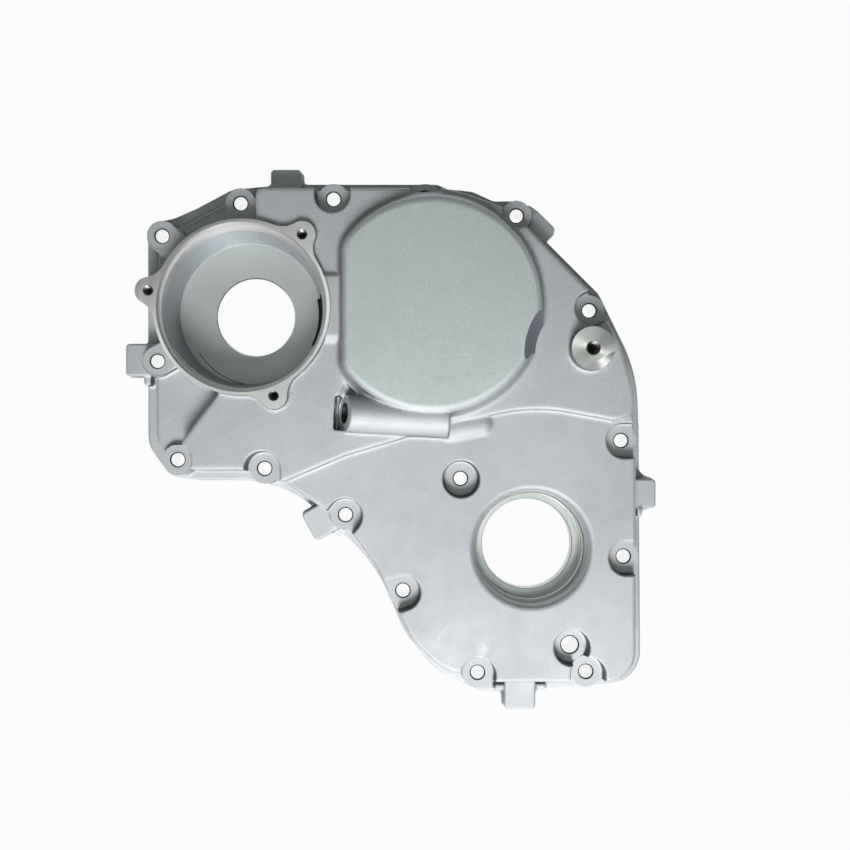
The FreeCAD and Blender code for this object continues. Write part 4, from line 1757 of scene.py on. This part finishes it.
@dataclass(frozen=True)
class CastSkin:
    """Fine grainy skin of a die-casting, with soft blotches, a few scuffs and painted shade on closed-in
    steep walls.

    Attributes:
        finish: Which surface it is.
        light: Colour of its light patches.
        dark: Colour of its dark patches.
        top_light: Light patches on the highest face, which is greener.
        top_dark: Dark patches there.
        roughness: Middle roughness.
        grain: Depth of the grain in millimetres.
        scuffed_and_shaded: Whether handling marks show, and the painted shade on closed-in steep walls.
        metallic: Share of metal.
    """

    finish: Finish
    light: tuple[float, float, float] = (0.73, 0.75, 0.775)
    dark: tuple[float, float, float] = (0.605, 0.625, 0.65)
    top_light: tuple[float, float, float] = (0.775, 0.855, 0.845)
    top_dark: tuple[float, float, float] = (0.645, 0.715, 0.705)
    roughness: float = 0.72
    grain: float = 0.06
    scuffed_and_shaded: bool = True
    metallic: float = 0.85

    def scuffs(self, graph: Graph) -> Socket:
        """Mask of short rubbed lines and smudges.

        Args:
            graph: The material's nodes.

        Returns:
            The mask, 1 inside a mark.
        """
        total: Socket | None = None
        for x, y, turn, length, width in SCUFFS:
            size = (length * MM, width * MM, 20 * MM)
            frame = graph.moved((x, y, SOUTH_PANEL_TOP), turn, size)
            ball = graph.add("ShaderNodeTexGradient", gradient_type="SPHERICAL")
            graph.link(frame, ball.inputs["Vector"])
            spot = graph.ranged(ball.outputs["Fac"], 0.0, 0.6, 0.0, 1.0)
            total = spot if total is None else graph.math("MAXIMUM", total, spot)
        return graph.math("MULTIPLY", total, graph.ranged(graph.noise(900, 3), 0.42, 0.62, 0.0, 1.0))

    def material(self) -> bpy.types.Material:
        """The node material.

        Returns:
            The material.
        """
        graph = Graph(self.finish.value)
        wide = graph.math("MULTIPLY", graph.noise(14, 4), 0.6)
        cloud = graph.math("ADD", wide, graph.math("MULTIPLY", graph.noise(75, 3), 0.4))
        fine = graph.noise(1150, 3, rough=0.7)
        pits = graph.ranged(graph.noise(620, 2), 0.68, 0.78, 0.0, 1.0)
        soft = graph.ranged(cloud, 0.3, 0.7, 0.1, 0.6)
        share = graph.math("ADD", soft, graph.ranged(fine, 0.3, 0.7, -0.45, 0.75))
        colour = graph.mixed(share, self.dark, self.light)
        parts = graph.add("ShaderNodeSeparateXYZ")
        graph.link(graph.place, parts.inputs["Vector"])
        height = graph.ranged(parts.outputs["Z"], (DOME_TOP - 1.1) * MM, (DOME_TOP - 0.3) * MM, 0.0, 1.0)
        patch = graph.ranged(graph.noise(9, 2), 0.4, 0.7, 0.0, 0.3)
        tint = graph.math("MAXIMUM", height, patch)
        colour = graph.mixed(tint, colour, graph.mixed(share, self.top_dark, self.top_light))
        colour = graph.mixed(graph.math("MULTIPLY", pits, 0.35), colour, tuple(0.6 * v for v in self.dark))
        worn = graph.ranged(cloud, 0.3, 0.7, self.roughness + 0.04, self.roughness - 0.04)
        rough = graph.math("ADD", worn, graph.ranged(fine, 0.3, 0.7, -0.05, 0.05))
        if self.scuffed_and_shaded:
            # Painted shade on closed-in steep walls.
            colour = graph.painted_nook_shade(colour)
            scuff = self.scuffs(graph)
            colour = graph.mixed(graph.math("MULTIPLY", scuff, 0.25), colour, (0.85, 0.87, 0.88))
            rough = graph.math("SUBTRACT", rough, graph.math("MULTIPLY", scuff, 0.12))
        wavy = graph.bump(graph.noise(120, 2), 0.12, 0.35)
        normal = graph.bump(graph.math("SUBTRACT", fine, pits), self.grain, 0.5, wavy)
        return graph.finish(colour, rough, normal, self.metallic)


@dataclass(frozen=True)
class TurnedMetal:
    """Bright metal left by a turning tool, with circular feed lines.

    Attributes:
        finish: Which surface it is.
        centre: Axis of the turning, in millimetres.
        colour: Colour of the metal.
        roughness: Middle roughness.
        feed: Distance between the broad feed bands in millimetres.
        stretch: How far the highlight runs across the lines, from 0 to 1.
        metallic: Share of metal.
    """

    finish: Finish
    centre: tuple[float, float, float]
    colour: tuple[float, float, float] = (0.95, 0.95, 0.94)
    roughness: float = 0.4
    feed: float = 0.5
    stretch: float = 0.55
    metallic: float = 0.8

    def material(self) -> bpy.types.Material:
        """The node material.

        Returns:
            The material.
        """
        graph = Graph(self.finish.value)
        place = graph.moved(self.centre)
        parts = graph.add("ShaderNodeSeparateXYZ")
        graph.link(place, parts.inputs["Vector"])
        x, y, z = (parts.outputs[k] for k in "XYZ")
        squares = graph.math("ADD", graph.math("MULTIPLY", x, x), graph.math("MULTIPLY", y, y))
        across = graph.math("ADD", graph.math("SQRT", squares), z)
        lines = graph.add("ShaderNodeCombineXYZ")
        graph.link(across, lines.inputs["X"])
        band = graph.noise(1 / (self.feed * MM), 2, lines.outputs["Vector"])
        broad = graph.noise(0.12 / (self.feed * MM), 3, lines.outputs["Vector"])
        blotch = graph.noise(60, 3)
        thin = graph.ranged(band, 0.3, 0.7, -0.15, 0.3)
        share = graph.math("ADD", thin, graph.ranged(broad, 0.3, 0.7, 0.15, 0.75))
        dark = tuple(0.9 * v for v in self.colour)
        light = tuple(min(1.0, 1.06 * v) for v in self.colour)
        colour = graph.mixed(share, dark, light)
        worn = graph.ranged(broad, 0.3, 0.7, self.roughness - 0.05, self.roughness + 0.06)
        rough = graph.math("ADD", worn, graph.ranged(blotch, 0.3, 0.7, -0.03, 0.04))
        normal = graph.bump(band, 0.004, 0.2)
        spin = graph.add("ShaderNodeCombineXYZ")
        graph.link(graph.math("MULTIPLY", y, -1.0), spin.inputs["X"])
        graph.link(x, spin.inputs["Y"])
        graph.link(spin.outputs["Vector"], graph.shader.inputs["Tangent"])
        graph.shader.inputs["Anisotropic"].default_value = self.stretch
        return graph.finish(colour, rough, normal, self.metallic)


@dataclass(frozen=True)
class DrilledMetal:
    """Wall of a drilled or reamed hole.

    Attributes:
        finish: Which surface it is.
        colour: Colour of the metal.
        roughness: Middle roughness.
    """

    finish: Finish
    colour: tuple[float, float, float] = (0.9, 0.9, 0.9)
    roughness: float = 0.2

    def material(self) -> bpy.types.Material:
        """The node material.

        Returns:
            The material.
        """
        graph = Graph(self.finish.value)
        rings = graph.noise(700, 2, graph.moved((0, 0, 0), 0.0, (8.0, 8.0, 0.4)))
        blotch = graph.noise(180, 3)
        dark = tuple(0.86 * v for v in self.colour)
        colour = graph.mixed(graph.ranged(rings, 0.3, 0.7, 0.0, 1.0), dark, self.colour)
        rough = graph.ranged(blotch, 0.3, 0.7, self.roughness - 0.04, self.roughness + 0.06)
        return graph.finish(colour, rough, graph.bump(rings, 0.01, 0.25), 1.0)


FINISHES: dict[Finish, CastSkin | TurnedMetal | DrilledMetal] = {
    Finish.CAST: CastSkin(Finish.CAST),
    # Cast skin at about half brightness and bluer on the scooped flank: painted shade.
    Finish.SCOOP: CastSkin(
        Finish.SCOOP, light=(0.37, 0.39, 0.455), dark=(0.305, 0.32, 0.375),
        top_light=(0.37, 0.39, 0.455), top_dark=(0.305, 0.32, 0.375), roughness=0.66, scuffed_and_shaded=False,
    ),
    Finish.CUP_FLOOR: CastSkin(
        Finish.CUP_FLOOR, light=(0.60, 0.635, 0.63), dark=(0.48, 0.52, 0.505),
        top_light=(0.60, 0.65, 0.61), top_dark=(0.48, 0.53, 0.49),
        roughness=0.5, grain=0.045, scuffed_and_shaded=False, metallic=0.5,
    ),
    Finish.PORT_FACE: CastSkin(
        Finish.PORT_FACE, light=(0.93, 0.94, 0.95), dark=(0.86, 0.87, 0.88),
        top_light=(0.93, 0.94, 0.95), top_dark=(0.86, 0.87, 0.88),
        roughness=0.4, grain=0.015, scuffed_and_shaded=False, metallic=0.35,
    ),
    Finish.RING_FACE: TurnedMetal(Finish.RING_FACE, (*CUP_CENTRE, 0.0)),
    # Turned metal at about half the ring face's brightness on the cup wall: painted shade.
    Finish.CUP_WALL: TurnedMetal(
        Finish.CUP_WALL, (*CUP_CENTRE, 0.0), (0.5, 0.52, 0.565), roughness=0.3, feed=0.9, stretch=0.2,
    ),
    Finish.SEAL_BORE: TurnedMetal(
        Finish.SEAL_BORE, (0.0, 0.0, 0.0), (0.66, 0.69, 0.67), roughness=0.34, feed=1.6, stretch=0.2,
    ),
    Finish.BOSS_FACE: TurnedMetal(
        Finish.BOSS_FACE, (*TallBoss.at, 0.0), (0.86, 0.87, 0.84), roughness=0.3, feed=0.6, stretch=0.85,
    ),
    Finish.GASKET_FACE: TurnedMetal(
        Finish.GASKET_FACE, (-400.0, 60.0, 0.0), (0.66, 0.66, 0.65), roughness=0.3, feed=0.9, stretch=0.4,
    ),
    Finish.HOLE: DrilledMetal(Finish.HOLE, (0.98, 0.98, 0.98), roughness=0.12),
    # Near-black broken edge round each bolt hole: a painted shadow ring.
    Finish.HOLE_EDGE: DrilledMetal(Finish.HOLE_EDGE, (0.09, 0.095, 0.095), roughness=0.5),
    # Near-black walls for the dark bolt hole, the gear window and the floor groove: painted shade.
    Finish.BLACK_HOLE: DrilledMetal(Finish.BLACK_HOLE, (0.05, 0.055, 0.05), roughness=0.6),
    # Dark metal in the oil port's hole: painted shade inside the bore.
    Finish.DARK_BORE: DrilledMetal(Finish.DARK_BORE, (0.2, 0.215, 0.23), roughness=0.35),
    Finish.THREAD: DrilledMetal(Finish.THREAD, (0.5, 0.52, 0.5), roughness=0.4),
}


def surface(finish: Finish) -> bpy.types.Material:
    """Material of a finish, made once."""
    return bpy.data.materials.get(finish.value) or FINISHES[finish].material()


@dataclass
class Studio:
    """Camera, lamps, pale floor and world.

    Attributes:
        eye: Place of the camera in metres, straight over the cover.
        sensor: Width of its sensor in millimetres.
        lens: Its focal length, which is 800 pixels of a picture 850 wide.
        shift: Lens shift along the picture's sides, in widths of the picture.
        aim: Where the lamps point, in metres.
        lamps: Name, place, width, power and colour of each lamp.
        north_glow: Colour of the surroundings far from the lamps.
        south_glow: Their colour on the lamps' side.
    """

    eye: Vector = field(default_factory=lambda: Vector((-0.0792, 0.0709, 0.508)))
    sensor: float = 36.0
    lens: float = 36.0 * 800.0 / 850.0
    shift: Point = (25.0 / 850.0, 5.0 / 850.0)
    aim: Vector = field(default_factory=lambda: Vector((-0.08, 0.07, 0.02)))
    lamps: tuple[tuple[str, tuple[float, float, float], float, float, tuple[float, float, float]], ...] = (
        ("front_softbox", (-0.12, -1.05, 1.15), 0.70, 23.5, (1.0, 0.99, 1.0)),
        ("overhead", (-0.08, -0.05, 1.35), 1.10, 3.0, (0.93, 1.0, 0.95)),
    )
    north_glow: tuple[float, float, float] = (0.006, 0.008, 0.007)
    south_glow: tuple[float, float, float] = (0.05, 0.05, 0.052)

    def camera(self) -> None:
        """Camera at the photograph's angle."""
        data = bpy.data.cameras.new("camera")
        data.sensor_width = self.sensor
        data.lens = self.lens
        data.shift_x, data.shift_y = self.shift
        data.clip_start, data.clip_end = 0.01, 20.0
        obj = bpy.data.objects.new("camera", data)
        obj.location = self.eye
        bpy.context.scene.collection.objects.link(obj)
        bpy.context.scene.camera = obj

    def light(self) -> None:
        """Soft lamps, the strongest low in front as in the photograph."""
        for name, place, size, power, colour in self.lamps:
            data = bpy.data.lights.new(name, "AREA")
            data.shape = "DISK"
            data.size = size
            data.energy = power
            data.color = colour
            obj = bpy.data.objects.new(name, data)
            obj.location = place
            obj.rotation_euler = (self.aim - Vector(place)).to_track_quat("-Z", "Y").to_euler()
            bpy.context.scene.collection.objects.link(obj)

    def world(self) -> None:
        """Dim cool surroundings for the metal and white for the camera."""
        world = bpy.data.worlds.new("studio")
        world.use_nodes = True
        bpy.context.scene.world = world
        tree = world.node_tree
        nodes, links = tree.nodes, tree.links
        nodes.clear()
        coords = nodes.new("ShaderNodeTexCoord")
        split = nodes.new("ShaderNodeSeparateXYZ")
        links.new(coords.outputs["Generated"], split.inputs["Vector"])
        ramp = nodes.new("ShaderNodeMapRange")
        ramp.inputs["From Min"].default_value = 0.9
        ramp.inputs["From Max"].default_value = -0.9
        links.new(split.outputs["Y"], ramp.inputs["Value"])
        mix = nodes.new("ShaderNodeMix")
        mix.data_type = "RGBA"
        mix.inputs[6].default_value = (*self.north_glow, 1)
        mix.inputs[7].default_value = (*self.south_glow, 1)
        links.new(ramp.outputs["Result"], mix.inputs["Factor"])
        dim = nodes.new("ShaderNodeBackground")
        dim.inputs["Strength"].default_value = 1.0
        links.new(mix.outputs[2], dim.inputs["Color"])
        white = nodes.new("ShaderNodeBackground")
        white.inputs["Color"].default_value = (1, 1, 1, 1)
        path = nodes.new("ShaderNodeLightPath")
        choose = nodes.new("ShaderNodeMixShader")
        links.new(path.outputs["Is Camera Ray"], choose.inputs["Fac"])
        links.new(dim.outputs["Background"], choose.inputs[1])
        links.new(white.outputs["Background"], choose.inputs[2])
        out = nodes.new("ShaderNodeOutputWorld")
        links.new(choose.outputs["Shader"], out.inputs["Surface"])

    def floor(self) -> bpy.types.Object:
        """Pale floor that keeps a faint shadow.

        Returns:
            The floor.
        """
        deselect_everything()
        bpy.ops.mesh.primitive_plane_add(size=6.0, location=(0, 0, -0.0004))
        floor = bpy.context.object
        floor.name = "floor"
        graph = Graph("pale_floor")
        graph.shader.inputs["Base Color"].default_value = (0.3, 0.3, 0.3, 1)
        graph.shader.inputs["Roughness"].default_value = 0.8
        glow = graph.add("ShaderNodeEmission")
        glow.inputs["Color"].default_value = (1, 1, 1, 1)
        path = graph.add("ShaderNodeLightPath")
        seen = graph.math("MAXIMUM", path.outputs["Is Camera Ray"], path.outputs["Is Glossy Ray"])
        seen = graph.math("MAXIMUM", seen, path.outputs["Is Transmission Ray"])
        choose = graph.add("ShaderNodeMixShader")
        graph.link(graph.math("MULTIPLY", seen, 0.96), choose.inputs["Fac"])
        graph.link(graph.shader.outputs["BSDF"], choose.inputs[1])
        graph.link(glow.outputs["Emission"], choose.inputs[2])
        graph.link(choose.outputs["Shader"], graph.tree.nodes["Material Output"].inputs["Surface"])
        floor.data.materials.append(graph.material)
        return floor

    def build(self) -> None:
        """Set everything up."""
        self.camera()
        self.light()
        self.world()
        self.floor()
        bpy.context.scene.view_settings.view_transform = "Standard"


def main() -> None:
    """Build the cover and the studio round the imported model."""
    logging.basicConfig(level=logging.INFO, format="%(name)s: %(message)s")
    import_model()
    CoverCasting().build()
    Studio().build()


if __name__ == "__main__":
    main()
